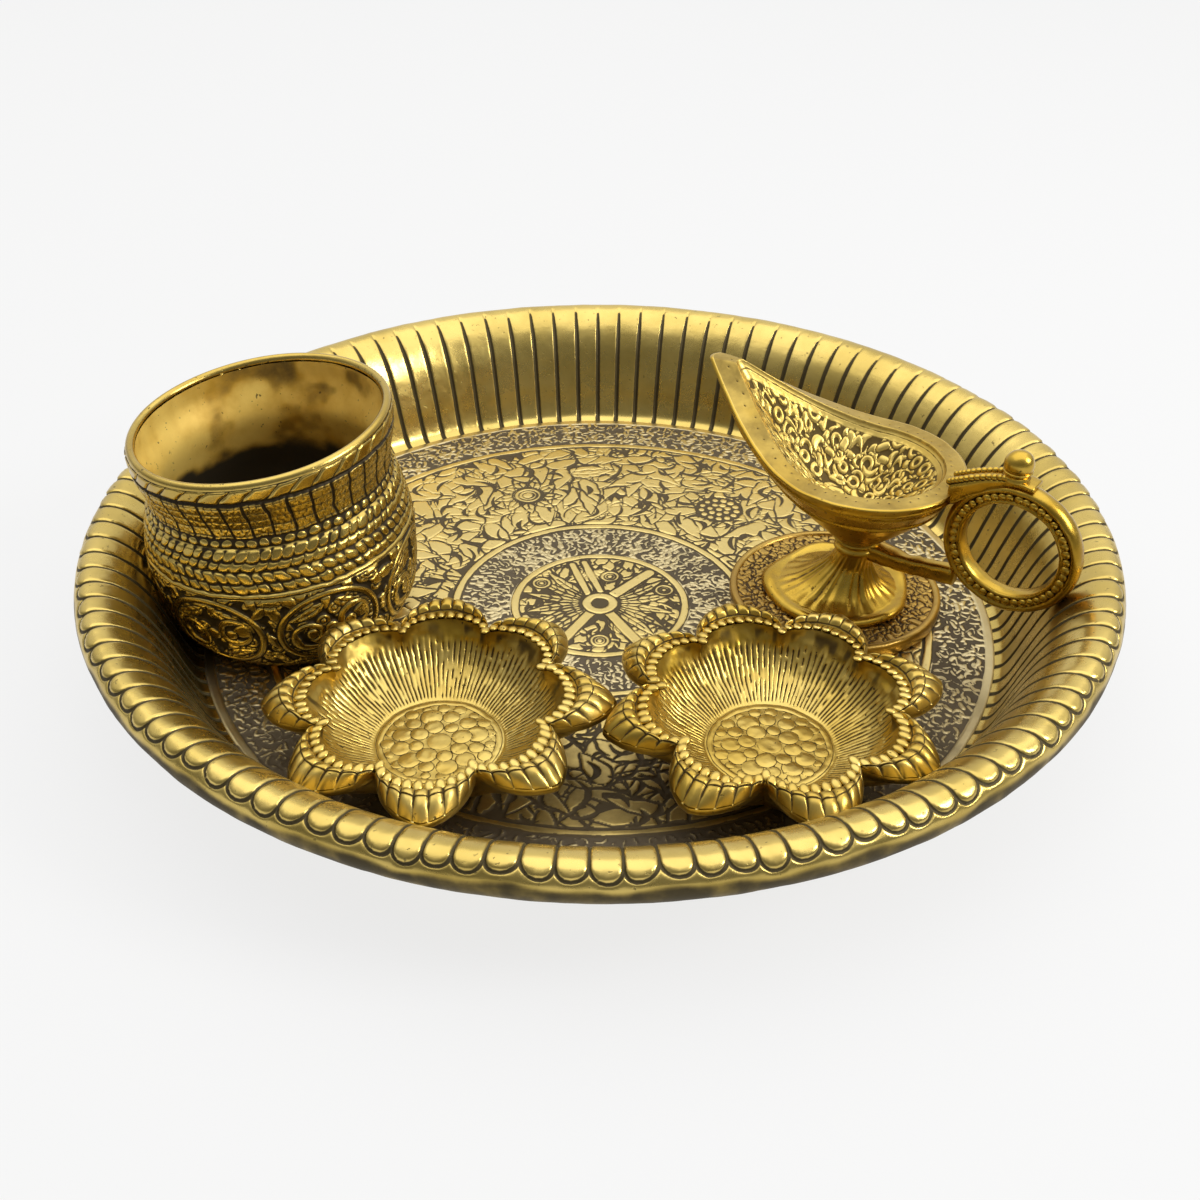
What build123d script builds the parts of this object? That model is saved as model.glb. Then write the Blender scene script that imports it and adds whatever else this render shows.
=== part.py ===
# Puja thali set: a fluted brass plate carrying a pot, two lotus cups and a lamp with a ring handle.
# Lengths are in millimetres, angles in degrees. The plate stands on z = 0 with its centre on the z axis.
# The person using the set faces +Y, so -Y is the near side and +X is to the right.
import os
from math import cos, hypot, pi, radians, sin

from build123d import *

# plate
plate_radius = 140.0
roll_radius = 5.2
roll_height = 30.1
wall_spread = 28.4
floor_thickness = 1.6
wall_thickness = 1.7
wall_bulge = 2.8
wall_end_angle = 190.0
relief_height = 0.35
border_width = 16.8
border_ring_width = 2.6
inner_ring_share = 0.3862
inner_ring_width = 3.0
medallion_ring_share = 0.2312
medallion_ring_width = 2.4
hub_ring_radius = 4.6
hub_ring_width = 1.5

# pot, whose axis leans over as it rises
pot_x = -86.0
pot_y = -6.3
pot_edge_gap = 0.4695
pot_lean_x = -3.9
pot_lean_y = 2.4
pot_lean_angle = 6.3
pot_nod_angle = 2.0
pot_foot_radius = 24.9
pot_band_height = 4.0
pot_band_radius = 29.3
pot_low_height = 13.0
pot_low_radius = 34.6
pot_belly_height = 27.5
pot_belly_radius = 36.0
pot_shoulder_height = 38.0
pot_shoulder_radius = 34.4
pot_neck_height = 47.0
pot_neck_radius = 32.3
pot_lip_height = 57.0
pot_lip_radius = 34.6
pot_height = 62.4
pot_wall = 2.2
pot_floor = 2.6

# lotus cups
cup_left_x = -39.8
cup_left_y = -66.5
cup_left_turn = 1.0
cup_right_x = 42.6
cup_right_y = -67.0
cup_right_turn = 13.0
petal_count = 8
cup_height = 21.5
cup_foot_radius = 16.5
cup_foot_lobe = 0.9
cup_mid_height = 9.0
cup_mid_notch_radius = 25.0
cup_mid_tip_radius = 29.0
cup_petal_height = 18.0
petal_notch_radius = 29.6
petal_shoulder_radius = 38.6
petal_tip_radius = 41.0
petal_edge_draw = 0.8
cup_floor_height = 4.4
cup_floor_radius = 14.4
cup_floor_lobe = 0.3
cup_inner_height = 11.0
cup_inner_notch_radius = 22.0
cup_inner_lobe_radius = 23.8
cup_rim_notch_radius = 27.4
cup_rim_lobe_radius = 33.4
shoulder_share = 0.48
lobe_fullness_share = 0.86

# lamp, laid out along its own heading from the middle of the base disc
lamp_x = 67.9
lamp_y = 3.3
lamp_heading = -36.0
disc_radius = 30.3
disc_thickness = 3.4
disc_rim_width = 2.2
disc_rim_height = 1.1
foot_radius = 20.2
foot_edge = 1.8
foot_mid_height = 6.5
foot_mid_radius = 10.5
stem_lean = 5.0
neck_radius = 5.2
neck_height = 16.0
stem_height = 20.0
collar_radius = 6.6
bowl_rim_height = 47.7
bowl_back = 27.0
bowl_tip = 41.0
bowl_half_width = 25.9
bowl_low_rise_share = 0.3
bowl_low_back = 14.5
bowl_low_tip = 18.0
bowl_low_half_width = 14.0
bowl_high_rise_share = 0.66
bowl_high_back = 22.8
bowl_high_tip = 31.0
bowl_high_half_width = 21.8
spout_rise = 15.0
spout_start = 6.0
spout_back = 29.0
spout_tip = 50.0
spout_half_width = 28.0
spout_slope = 0.55
tip_reach_share = 0.5
tip_width_share = 0.79
bowl_wall = 2.4
bowl_rim_width = 4.0
bowl_floor_gap = 3.0
bowl_flat = 1.2
screw_radius = 1.9
screw_head_radius = 4.0
screw_head_height = 1.6
screw_length = 14.0
ring_centre = 48.3
ring_drop = 10.9
ring_hole_radius = 13.0
ring_section = 5.7
ring_width = 6.4
ring_edge = 1.4
bracket_width = 6.0
bracket_thickness = 4.4
bracket_cap = 0.8
bracket_drop = 3.4
ball_radius = 4.1
ball_seat_radius = 3.4
ball_seat_height = 2.2
strut_width = 4.2
strut_thickness = 4.6
strut_ring_drop = 14.4
strut_collar_drop = 3.0
strut_root_share = 0.9
fit_clear = 0.3

os.makedirs("parts", exist_ok=True)

half_share = 0.5
half_turn = 180.0
full_turn = 360.0
floor_top = Plane.XY.offset(floor_thickness)
roll_centre = plate_radius - roll_radius
floor_radius = plate_radius - wall_spread
border_ring_radius = floor_radius - border_width
inner_ring_radius = floor_radius * inner_ring_share
medallion_ring_radius = floor_radius * medallion_ring_share

# The pot stands against the foot of the wall, and the whole set of vessels is sized with it to the plate.
set_share = floor_radius / (hypot(pot_x, pot_y) + pot_foot_radius + pot_edge_gap)
stand_height = (floor_thickness + relief_height) / set_share


def ring_point(radius, angle):
    return (radius * cos(radians(angle)), radius * sin(radians(angle)))


def wall_point(share, outward):
    """A point up the inside of the plate's wall, moved into the sheet by a distance."""
    end_x = roll_centre + roll_radius * cos(radians(wall_end_angle))
    end_z = roll_height + roll_radius * sin(radians(wall_end_angle))
    run = end_x - floor_radius
    rise = end_z - floor_thickness
    length = (run**2 + rise**2) ** half_share
    bow = wall_bulge * sin(pi * share) + outward
    out = floor_radius + run * share + bow * rise / length
    up = floor_thickness + rise * share - bow * run / length
    return (out, up)


# Plate: floor and wall are one sheet, closed at the edge by a round bead.
with BuildPart() as thali_plate:
    with BuildSketch(Plane.XZ):
        with BuildLine():
            under_edge = wall_point(1, wall_thickness)
            outside = ThreePointArc((floor_radius, 0), wall_point(half_share, wall_thickness), under_edge)
            floor_edge = (floor_radius, floor_thickness)
            inside = ThreePointArc(wall_point(1, 0), wall_point(half_share, 0), floor_edge)
            Line(outside @ 1, inside @ 0)
            Polyline(inside @ 1, (0, floor_thickness), (0, 0), outside @ 0)
        make_face()
        with Locations((roll_centre, roll_height)):
            Circle(roll_radius)
    revolve(axis=Axis.Z)
    with BuildSketch(floor_top):
        for radius, width in (
            (border_ring_radius, border_ring_width),
            (inner_ring_radius, inner_ring_width),
            (medallion_ring_radius, medallion_ring_width),
            (hub_ring_radius, hub_ring_width),
        ):
            Circle(radius)
            Circle(radius - width, mode=Mode.SUBTRACT)
    extrude(amount=relief_height)
thali_plate.part.label = "thali_plate"
export_step(thali_plate.part, "parts/thali_plate.step")


# Pot: round sections set along a leaning axis, each one tipped a little more than the one below.
def pot_section(height, radius):
    share = height / pot_height
    lean = radians(pot_lean_angle * share)
    nod = radians(pot_nod_angle * share)
    origin = (pot_x + pot_lean_x * share, pot_y + pot_lean_y * share, stand_height + height)
    upward = (-sin(lean) * cos(nod), -cos(lean) * sin(nod), cos(lean) * cos(nod))
    level = Plane(origin=origin, x_dir=(cos(lean), 0, sin(lean)), z_dir=upward)
    with BuildSketch(level) as section:
        Circle(radius)
    return section.sketch


def pot_hollow(height, radius):
    return pot_section(height + pot_floor * (1 - height / pot_height), radius - pot_wall)


pot_stations = (
    (pot_band_height, pot_band_radius),
    (pot_low_height, pot_low_radius),
    (pot_belly_height, pot_belly_radius),
    (pot_shoulder_height, pot_shoulder_radius),
    (pot_neck_height, pot_neck_radius),
    (pot_lip_height, pot_lip_radius),
)
pot_outside = [pot_section(0, pot_foot_radius)]
pot_outside += [pot_section(height, radius) for height, radius in pot_stations]
pot_outside += [pot_section(pot_height, pot_lip_radius)]
pot_inside = [pot_hollow(0, pot_foot_radius)]
pot_inside += [pot_hollow(height, radius) for height, radius in pot_stations]
pot_inside += [pot_hollow(pot_height, pot_lip_radius)]

with BuildPart() as kalash_pot:
    loft(sections=pot_outside)
    loft(sections=pot_inside, mode=Mode.SUBTRACT)
    scale(by=set_share)
kalash_pot.part.label = "kalash_pot"
export_step(kalash_pot.part, "parts/kalash_pot.step")


# Lotus cups: the same petal outline, drawn larger at each height.
def petal_outline(x, y, turn, height, notch, shoulder, tip):
    step = full_turn / petal_count
    with BuildSketch(Plane(origin=(x, y, stand_height + height))) as outline:
        with BuildLine():
            for number in range(petal_count):
                middle = turn + number * step
                start = ring_point(notch, middle - step * half_share)
                first = ring_point(shoulder, middle - step * half_share * shoulder_share)
                point = ring_point(tip, middle)
                second = ring_point(shoulder, middle + step * half_share * shoulder_share)
                end = ring_point(notch, middle + step * half_share)
                ThreePointArc(start, first, point)
                ThreePointArc(point, second, end)
        make_face()
    return outline.sketch


def shoulder_between(notch, tip, fullness):
    return notch + (tip - notch) * fullness


def cup_outside(x, y, turn):
    foot_lobe = cup_foot_radius + cup_foot_lobe
    edge_notch = petal_notch_radius - petal_edge_draw
    edge_shoulder = petal_shoulder_radius - petal_edge_draw
    edge_tip = petal_tip_radius - petal_edge_draw
    low_shoulder = shoulder_between(cup_mid_notch_radius, cup_mid_tip_radius, lobe_fullness_share)
    petal_edge = (petal_notch_radius, petal_shoulder_radius, petal_tip_radius)
    return [
        petal_outline(x, y, turn, 0, cup_foot_radius, foot_lobe, foot_lobe),
        petal_outline(x, y, turn, cup_mid_height, cup_mid_notch_radius, low_shoulder, cup_mid_tip_radius),
        petal_outline(x, y, turn, cup_petal_height, *petal_edge),
        petal_outline(x, y, turn, cup_height, edge_notch, edge_shoulder, edge_tip),
    ]


def cup_inside(x, y, turn):
    floor_lobe = cup_floor_radius + cup_floor_lobe
    low_shoulder = shoulder_between(cup_inner_notch_radius, cup_inner_lobe_radius, lobe_fullness_share)
    rim_shoulder = shoulder_between(cup_rim_notch_radius, cup_rim_lobe_radius, lobe_fullness_share)
    low_edge = (cup_inner_notch_radius, low_shoulder, cup_inner_lobe_radius)
    return [
        petal_outline(x, y, turn, cup_floor_height, cup_floor_radius, floor_lobe, floor_lobe),
        petal_outline(x, y, turn, cup_inner_height, *low_edge),
        petal_outline(x, y, turn, cup_height, cup_rim_notch_radius, rim_shoulder, cup_rim_lobe_radius),
    ]


left_outside = cup_outside(cup_left_x, cup_left_y, cup_left_turn)
left_inside = cup_inside(cup_left_x, cup_left_y, cup_left_turn)
right_outside = cup_outside(cup_right_x, cup_right_y, cup_right_turn)
right_inside = cup_inside(cup_right_x, cup_right_y, cup_right_turn)

with BuildPart() as lotus_cup_left:
    loft(sections=left_outside)
    loft(sections=left_inside, mode=Mode.SUBTRACT)
    scale(by=set_share)
lotus_cup_left.part.label = "lotus_cup_left"
export_step(lotus_cup_left.part, "parts/lotus_cup_left.step")

with BuildPart() as lotus_cup_right:
    loft(sections=right_outside)
    loft(sections=right_inside, mode=Mode.SUBTRACT)
    scale(by=set_share)
lotus_cup_right.part.label = "lotus_cup_right"
export_step(lotus_cup_right.part, "parts/lotus_cup_right.step")

# Lamp planes: flat ones stacked over the disc, and the upright one that the handle lies in.
lamp_forward = (cos(radians(lamp_heading)), sin(radians(lamp_heading)), 0)
lamp_sideways = (sin(radians(lamp_heading)), -cos(radians(lamp_heading)), 0)
lamp_flat = Plane(origin=(lamp_x, lamp_y, stand_height), x_dir=lamp_forward, z_dir=(0, 0, 1))
lamp_side = Plane(origin=(lamp_x, lamp_y, stand_height), x_dir=lamp_forward, z_dir=lamp_sideways)
stem_bottom = disc_thickness
stem_top = disc_thickness + stem_height

with BuildPart() as lamp_base_disc:
    with BuildSketch(lamp_flat):
        Circle(disc_radius)
    extrude(amount=disc_thickness)
    with BuildSketch(lamp_flat.offset(disc_thickness)):
        Circle(disc_radius)
        Circle(disc_radius - disc_rim_width, mode=Mode.SUBTRACT)
    extrude(amount=disc_rim_height)
    with BuildSketch(lamp_flat):
        Circle(screw_head_radius + fit_clear)
    extrude(amount=screw_head_height, mode=Mode.SUBTRACT)
    with BuildSketch(lamp_flat):
        Circle(screw_radius + fit_clear)
    extrude(amount=disc_thickness, mode=Mode.SUBTRACT)
    scale(by=set_share)
lamp_base_disc.part.label = "lamp_base_disc"
export_step(lamp_base_disc.part, "parts/lamp_base_disc.step")

with BuildPart() as lamp_screw:
    with BuildSketch(lamp_flat.offset(fit_clear)):
        Circle(screw_head_radius)
    extrude(amount=screw_head_height - fit_clear)
    with BuildSketch(lamp_flat.offset(screw_head_height)):
        Circle(screw_radius)
    extrude(amount=screw_length - screw_head_height)
    scale(by=set_share)
lamp_screw.part.label = "lamp_screw"
export_step(lamp_screw.part, "parts/lamp_screw.step")


# Stem: the flared foot leans over towards the handle as it narrows to the neck.
def stem_section(height, radius):
    share = min(height / neck_height, 1)
    with BuildSketch(lamp_flat.offset(stem_bottom + height)) as section:
        with Locations((stem_lean * share, 0)):
            Circle(radius)
    return section.sketch


foot_sections = [
    stem_section(foot_edge, foot_radius),
    stem_section(foot_mid_height, foot_mid_radius),
    stem_section(neck_height, neck_radius),
]

with BuildPart() as lamp_stem:
    loft(sections=foot_sections)
    with BuildSketch(lamp_flat.offset(stem_bottom)):
        Circle(foot_radius)
    extrude(amount=foot_edge)
    with BuildSketch(lamp_flat.offset(stem_bottom + neck_height)):
        with Locations((stem_lean, 0)):
            Circle(neck_radius)
    with BuildSketch(lamp_flat.offset(stem_top)):
        with Locations((stem_lean, 0)):
            Circle(collar_radius)
    loft()
    with BuildSketch(lamp_flat.offset(stem_bottom)):
        Circle(screw_radius + fit_clear)
    extrude(amount=screw_length - disc_thickness + fit_clear, mode=Mode.SUBTRACT)
    scale(by=set_share)
lamp_stem.part.label = "lamp_stem"
export_step(lamp_stem.part, "parts/lamp_stem.step")


# Bowl: one leaf outline, round at the back and pointed at the spout, growing from foot to rim.
def leaf_outline(height, back, tip, half_width):
    quarter_turn = half_turn * half_share
    with BuildSketch(lamp_flat.offset(height)) as outline:
        with BuildLine():
            middle = (stem_lean, 0)
            EllipticalCenterArc(middle, back, half_width, start_angle=-quarter_turn, arc_size=half_turn)
            for side in (1, -1):
                widest = (stem_lean, side * half_width)
                between = (stem_lean - tip * tip_reach_share, side * half_width * tip_width_share)
                Spline(widest, between, (stem_lean - tip, 0), tangents=((-1, 0), (-1, -side)))
        make_face()
    return outline.sketch


bowl_depth = bowl_rim_height - stem_top
low_height = stem_top + bowl_depth * bowl_low_rise_share
high_height = stem_top + bowl_depth * bowl_high_rise_share
spout_height = bowl_rim_height + spout_rise
bowl_outside = [
    leaf_outline(stem_top, collar_radius, collar_radius, collar_radius),
    leaf_outline(low_height, bowl_low_back, bowl_low_tip, bowl_low_half_width),
    leaf_outline(high_height, bowl_high_back, bowl_high_tip, bowl_high_half_width),
    leaf_outline(bowl_rim_height, bowl_back, bowl_tip, bowl_half_width),
    leaf_outline(spout_height, spout_back, spout_tip, spout_half_width),
]


def leaf_inset(height, back, tip, half_width, inset):
    return leaf_outline(height, back - inset, tip - inset, half_width - inset)


hollow_low = low_height + bowl_floor_gap * half_share
bowl_inside = [
    leaf_outline(stem_top + bowl_floor_gap, collar_radius, collar_radius, collar_radius),
    leaf_inset(hollow_low, bowl_low_back, bowl_low_tip, bowl_low_half_width, bowl_wall),
    leaf_inset(high_height, bowl_high_back, bowl_high_tip, bowl_high_half_width, bowl_wall),
    leaf_inset(bowl_rim_height, bowl_back, bowl_tip, bowl_half_width, bowl_rim_width),
    leaf_inset(spout_height, spout_back, spout_tip, spout_half_width, bowl_rim_width),
]
bowl_end = stem_lean + bowl_back - bowl_flat

with BuildPart() as lamp_bowl:
    loft(sections=bowl_outside)
    loft(sections=bowl_inside, mode=Mode.SUBTRACT)
    with BuildSketch(lamp_side):
        with BuildLine():
            back_point = (stem_lean + spout_back, bowl_rim_height)
            tip_point = (stem_lean - spout_tip, spout_height)
            level = Line(back_point, (stem_lean - spout_start, bowl_rim_height))
            rising = Spline(level @ 1, tip_point, tangents=((-1, 0), (-1, spout_slope)))
            above_tip = (stem_lean - spout_tip, spout_height + spout_rise)
            above_back = (stem_lean + spout_back, spout_height + spout_rise)
            Polyline(rising @ 1, above_tip, above_back, level @ 0)
        make_face()
    extrude(amount=spout_half_width, both=True, mode=Mode.SUBTRACT)
    with BuildSketch(lamp_side):
        with Locations((bowl_end, stem_top)):
            Rectangle(spout_back, spout_height, align=(Align.MIN, Align.MIN))
    extrude(amount=spout_half_width, both=True, mode=Mode.SUBTRACT)
    scale(by=set_share)
lamp_bowl.part.label = "lamp_bowl"
export_step(lamp_bowl.part, "parts/lamp_bowl.step")

# Handle: the finger ring, the bracket that carries it from the bowl, and the strut from the neck.
ring_height = bowl_rim_height - ring_drop
ring_outer = ring_hole_radius + ring_section
ring_top = ring_height + ring_outer

with BuildPart() as handle_ring:
    with BuildSketch(lamp_side):
        with Locations((ring_centre, ring_height)):
            Circle(ring_outer)
            Circle(ring_hole_radius, mode=Mode.SUBTRACT)
    extrude(amount=ring_width * half_share, both=True)
    fillet(handle_ring.edges().filter_by(GeomType.CIRCLE), radius=ring_edge)
    scale(by=set_share)
handle_ring.part.label = "handle_ring"
export_step(handle_ring.part, "parts/handle_ring.step")

cap_height = ring_top + fit_clear + bracket_cap
ball_height = cap_height + ball_radius + fit_clear

with BuildPart() as handle_bracket:
    with BuildSketch(lamp_side):
        with BuildLine():
            Polyline(
                (bowl_end, ring_top - bracket_drop),
                (ring_centre - ball_seat_radius, cap_height),
                (ring_centre + ball_seat_radius, cap_height),
                (ring_centre + ball_seat_radius, ring_height),
                (ring_centre, ring_height),
                (bowl_end, bowl_rim_height - bracket_thickness),
                close=True,
            )
        make_face()
        with Locations((ring_centre, ring_height)):
            Circle(ring_outer + fit_clear, mode=Mode.SUBTRACT)
    extrude(amount=bracket_width * half_share, both=True)
    with BuildSketch(lamp_flat.offset(cap_height)):
        with Locations((ring_centre, 0)):
            Circle(ball_seat_radius)
    extrude(amount=ball_seat_height)
    with Locations(lamp_side.location * Location((ring_centre, ball_height, 0))):
        Sphere(ball_radius + fit_clear, mode=Mode.SUBTRACT)
    scale(by=set_share)
handle_bracket.part.label = "handle_bracket"
export_step(handle_bracket.part, "parts/handle_bracket.step")

with BuildPart() as thumb_ball:
    with Locations(lamp_side.location * Location((ring_centre, ball_height, 0))):
        Sphere(ball_radius)
    scale(by=set_share)
thumb_ball.part.label = "thumb_ball"
export_step(thumb_ball.part, "parts/thumb_ball.step")

# The strut runs from just under the stem's top to the low side of the ring.
strut_root = stem_lean + collar_radius * strut_root_share
strut_half = strut_thickness * half_share
root_height = stem_top - strut_collar_drop
tail_height = ring_height - strut_ring_drop

with BuildPart() as handle_strut:
    with BuildSketch(lamp_side):
        with BuildLine():
            Polyline(
                (strut_root, root_height - strut_half),
                (ring_centre, tail_height - strut_half),
                (ring_centre, tail_height + strut_half),
                (strut_root, root_height + strut_half),
                close=True,
            )
        make_face()
        with Locations((ring_centre, ring_height)):
            Circle(ring_outer + fit_clear, mode=Mode.SUBTRACT)
    extrude(amount=strut_width * half_share, both=True)
    with BuildSketch(lamp_flat):
        with Locations((stem_lean, 0)):
            Circle(collar_radius + fit_clear)
    extrude(amount=bowl_rim_height, mode=Mode.SUBTRACT)
    scale(by=set_share)
handle_strut.part.label = "handle_strut"
export_step(handle_strut.part, "parts/handle_strut.step")
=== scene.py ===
"""Puja thali set: chased brass plate, leaning pot, two lotus cups and an oil lamp with a ring handle."""

from math import cos, pi, radians, sin

import bmesh
import bpy
import numpy as np
from mathutils import Matrix, Vector


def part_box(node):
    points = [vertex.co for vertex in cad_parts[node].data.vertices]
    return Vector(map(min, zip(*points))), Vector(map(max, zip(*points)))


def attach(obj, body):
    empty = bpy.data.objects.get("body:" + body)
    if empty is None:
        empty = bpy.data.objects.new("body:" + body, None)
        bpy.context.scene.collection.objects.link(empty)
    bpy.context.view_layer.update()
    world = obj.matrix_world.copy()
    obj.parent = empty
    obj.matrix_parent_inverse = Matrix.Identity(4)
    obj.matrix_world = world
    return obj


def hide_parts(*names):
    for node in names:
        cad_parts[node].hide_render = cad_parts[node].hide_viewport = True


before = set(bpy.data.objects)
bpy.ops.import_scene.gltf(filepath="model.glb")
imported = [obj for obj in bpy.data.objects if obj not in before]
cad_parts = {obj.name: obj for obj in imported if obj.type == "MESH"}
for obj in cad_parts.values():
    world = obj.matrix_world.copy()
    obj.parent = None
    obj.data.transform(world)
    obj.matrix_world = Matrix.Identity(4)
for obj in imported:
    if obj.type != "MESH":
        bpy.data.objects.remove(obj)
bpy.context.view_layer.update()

# Lengths are in millimetres until a piece is made; the finished meshes are in metres.
mm = 0.001
turn = 2 * pi
no_line = 9.0


def node_box(node):
    """Lowest and highest corners of a CAD node, in millimetres."""
    low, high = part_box(node)
    return np.array(low) / mm, np.array(high) / mm


# Small helpers
def ease(value, low, high):
    """0 below low, 1 above high, with a soft change between them."""
    share = np.clip((value - low) / (high - low), 0, 1)
    return share * share * (3 - 2 * share)


def ridge(value, middle, half):
    """A soft bump of height 1 around a middle value."""
    return np.exp(-(((value - middle) / half) ** 2))


# Unevenness is read from a table of heights, by mixing the three numbers of a lattice corner
lump_table_size = 4096
lump_mixers = np.array([73856093, 19349663, 83492791])


def lumps(points, size, seed):
    """Soft unevenness from -1 to 1 in lumps of a given size."""
    table = np.random.default_rng(seed).uniform(-1, 1, lump_table_size)
    place = np.asarray(points) / size
    cell = np.floor(place).astype(np.int64)
    part = place - cell
    part = part * part * (3 - 2 * part)
    total = 0
    for corner in range(8):
        step = np.array([corner & 1, corner >> 1 & 1, corner >> 2])
        key = (cell + step) * lump_mixers
        mixed = (key[..., 0] ^ key[..., 1] ^ key[..., 2]) % lump_table_size
        total = total + table[mixed] * np.prod(np.where(step, part, 1 - part), axis=-1)
    return total


def roughened(grid, height, size, seed, share=1.0):
    """Points moved by soft unevenness, along each axis by its share of the height."""
    return grid + height * lumps(grid, size, seed)[..., None] * np.array(share)


def round_steps(count):
    """Even angles once round, without the closing one."""
    return np.linspace(0, turn, count, endpoint=False)


def run_length(points):
    """Length along a line of flat points, from its start to each point."""
    return np.concatenate([[0], np.cumsum(np.hypot(*np.diff(points, axis=0).T))])


def soft_weights(half, spread):
    """Weights of a soft average over some steps to each side."""
    weight = np.exp(-0.5 * (np.arange(-half, half + 1) / spread) ** 2)
    return weight / weight.sum()


def curve_through(stations, places):
    """A smooth line through (place, value) stations that never overshoots them."""
    x, y = np.array(stations, float).T
    gap = np.diff(x)
    rise = np.diff(y) / gap
    slope = np.zeros_like(y)
    slope[0], slope[-1] = rise[0], rise[-1]
    same = rise[:-1] * rise[1:] > 0
    first, second = 2 * gap[1:] + gap[:-1], gap[1:] + 2 * gap[:-1]
    with np.errstate(divide="ignore", invalid="ignore"):
        mean = (first + second) / (first / rise[:-1] + second / rise[1:])
    slope[1:-1] = np.where(same, mean, 0)
    k = np.clip(np.searchsorted(x, places) - 1, 0, len(gap) - 1)
    t = (np.clip(places, x[0], x[-1]) - x[k]) / gap[k]
    start = y[k] * (1 + 2 * t) * (1 - t) ** 2 + gap[k] * slope[k] * t * (1 - t) ** 2
    return start + y[k + 1] * t * t * (3 - 2 * t) + gap[k] * slope[k + 1] * t * t * (t - 1)


def ring_points(angle, radius, height):
    """Points round the upright axis; the three may be arrays that fit together."""
    x, y, z = np.broadcast_arrays(radius * np.cos(angle), radius * np.sin(angle), height)
    return np.stack([x, y, z], axis=-1)


def round_bead():
    """Corner points and triangles of one fine round bead of radius 1."""
    ball = bmesh.new()
    bmesh.ops.create_icosphere(ball, subdivisions=3, radius=1)
    ball.verts.ensure_lookup_table()
    points = np.array([v.co[:] for v in ball.verts])
    faces = np.array([[v.index for v in f.verts] for f in ball.faces])
    ball.free()
    return points, faces


bead_points, bead_faces = round_bead()


class Casting:
    """Collects sheets and beads and pours them into one smooth piece.

    line is the distance to the nearest chased line; the other mark is the share of old tarnish and of painted
    shade."""

    def __init__(self):
        self.points, self.quads, self.fans, self.line, self.tarnish_and_painted_shade = [], [], [], [], []
        self.count = 0

    def add(self, points, line, tarnish_and_painted_shade):
        first = self.count
        self.points.append(points.reshape(-1, 3))
        self.line.append(np.broadcast_to(line, points.shape[:-1]).reshape(-1))
        self.tarnish_and_painted_shade.append(np.broadcast_to(tarnish_and_painted_shade, points.shape[:-1]).reshape(-1))
        self.count += len(self.points[-1])
        return first

    def sheet(self, grid, line=no_line, tarnish_and_painted_shade=0.0, flip=False):
        """Rows of points, each row a closed ring; returns the point numbers."""
        rows, columns = grid.shape[:2]
        index = np.arange(rows * columns).reshape(rows, columns) + self.add(grid, line, tarnish_and_painted_shade)
        beside = np.roll(index, -1, axis=1)
        quads = np.stack([index[:-1], beside[:-1], beside[1:], index[1:]], axis=-1).reshape(-1, 4)
        self.quads.append(quads[:, ::-1] if flip else quads)
        return index

    def cap(self, edge, centre, line=no_line, tarnish_and_painted_shade=0.0, flip=False):
        """Closes a ring of points to one middle point."""
        middle = self.add(np.array([centre], float), line, tarnish_and_painted_shade)
        fan = np.stack([edge, np.roll(edge, -1), np.full_like(edge, middle)], axis=-1)
        self.fans.append(fan[:, ::-1] if flip else fan)

    def closed_sheet(self, grid, line=no_line, flip=False):
        """A sheet with its first and last rings closed to their middles."""
        index = self.sheet(grid, line, flip=flip)
        self.cap(index[0], grid[0].mean(axis=0), flip=not flip)
        self.cap(index[-1], grid[-1].mean(axis=0), flip=flip)

    def beads(self, centres, radii, frames, sink=0.3, tarnish_and_painted_shade=0.0):
        """Beads with three radii each along their own axes, the last of which points outward."""
        centres = np.asarray(centres, float)
        radii = np.broadcast_to(radii, (len(centres), 3))
        frames = np.broadcast_to(frames, (len(centres), 3, 3))
        shaped = bead_points[None] * radii[:, None]
        points = centres[:, None] + np.einsum("bpk,bkx->bpx", shaped, frames)
        first = self.add(points, (bead_points[None, :, 2] + sink) * radii[:, None, 2], tarnish_and_painted_shade)
        step = np.arange(len(centres))[:, None, None] * len(bead_points)
        self.fans.append((bead_faces[None] + step + first).reshape(-1, 3))

    def make(self, name, body, node, slot, finish):
        """Pours one named piece that rides on a body and stands for a CAD node."""
        points = np.concatenate(self.points) * mm
        quads = np.concatenate([np.zeros((0, 4), int), *self.quads])
        fans = np.concatenate([np.zeros((0, 3), int), *self.fans])
        corners = np.concatenate([quads.reshape(-1), fans.reshape(-1)])
        starts = np.concatenate([np.arange(len(quads)) * 4, len(quads) * 4 + np.arange(len(fans)) * 3])
        mesh = bpy.data.meshes.new(name)
        mesh.vertices.add(len(points))
        mesh.vertices.foreach_set("co", points.reshape(-1))
        mesh.loops.add(len(corners))
        mesh.loops.foreach_set("vertex_index", corners)
        mesh.polygons.add(len(starts))
        mesh.polygons.foreach_set("loop_start", starts)
        mesh.update(calc_edges=True)
        mesh.validate()
        mesh.shade_smooth()
        for key, values in (("line", self.line), ("tarnish_and_painted_shade", self.tarnish_and_painted_shade)):
            mark = mesh.attributes.new(key, "FLOAT", "POINT")
            mark.data.foreach_set("value", np.concatenate(values).astype(np.float32))
        piece = bpy.data.objects.new(name, mesh)
        bpy.context.scene.collection.objects.link(piece)
        mesh.materials.append(finish)
        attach(piece, body)
        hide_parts(node)


class Rows:
    """Collects rows of points with the line distance and the share of tarnish and painted shade of each."""

    def __init__(self):
        self.points, self.line, self.tarnish_and_painted_shade = [], [], []

    def add(self, points, line=no_line, tarnish_and_painted_shade=0.0):
        self.points.append(points)
        self.line.append(np.broadcast_to(line, points.shape[:-1]))
        self.tarnish_and_painted_shade.append(np.broadcast_to(tarnish_and_painted_shade, points.shape[:-1]))

    def stacked(self):
        return np.stack(self.points), np.stack(self.line), np.stack(self.tarnish_and_painted_shade)


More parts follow.
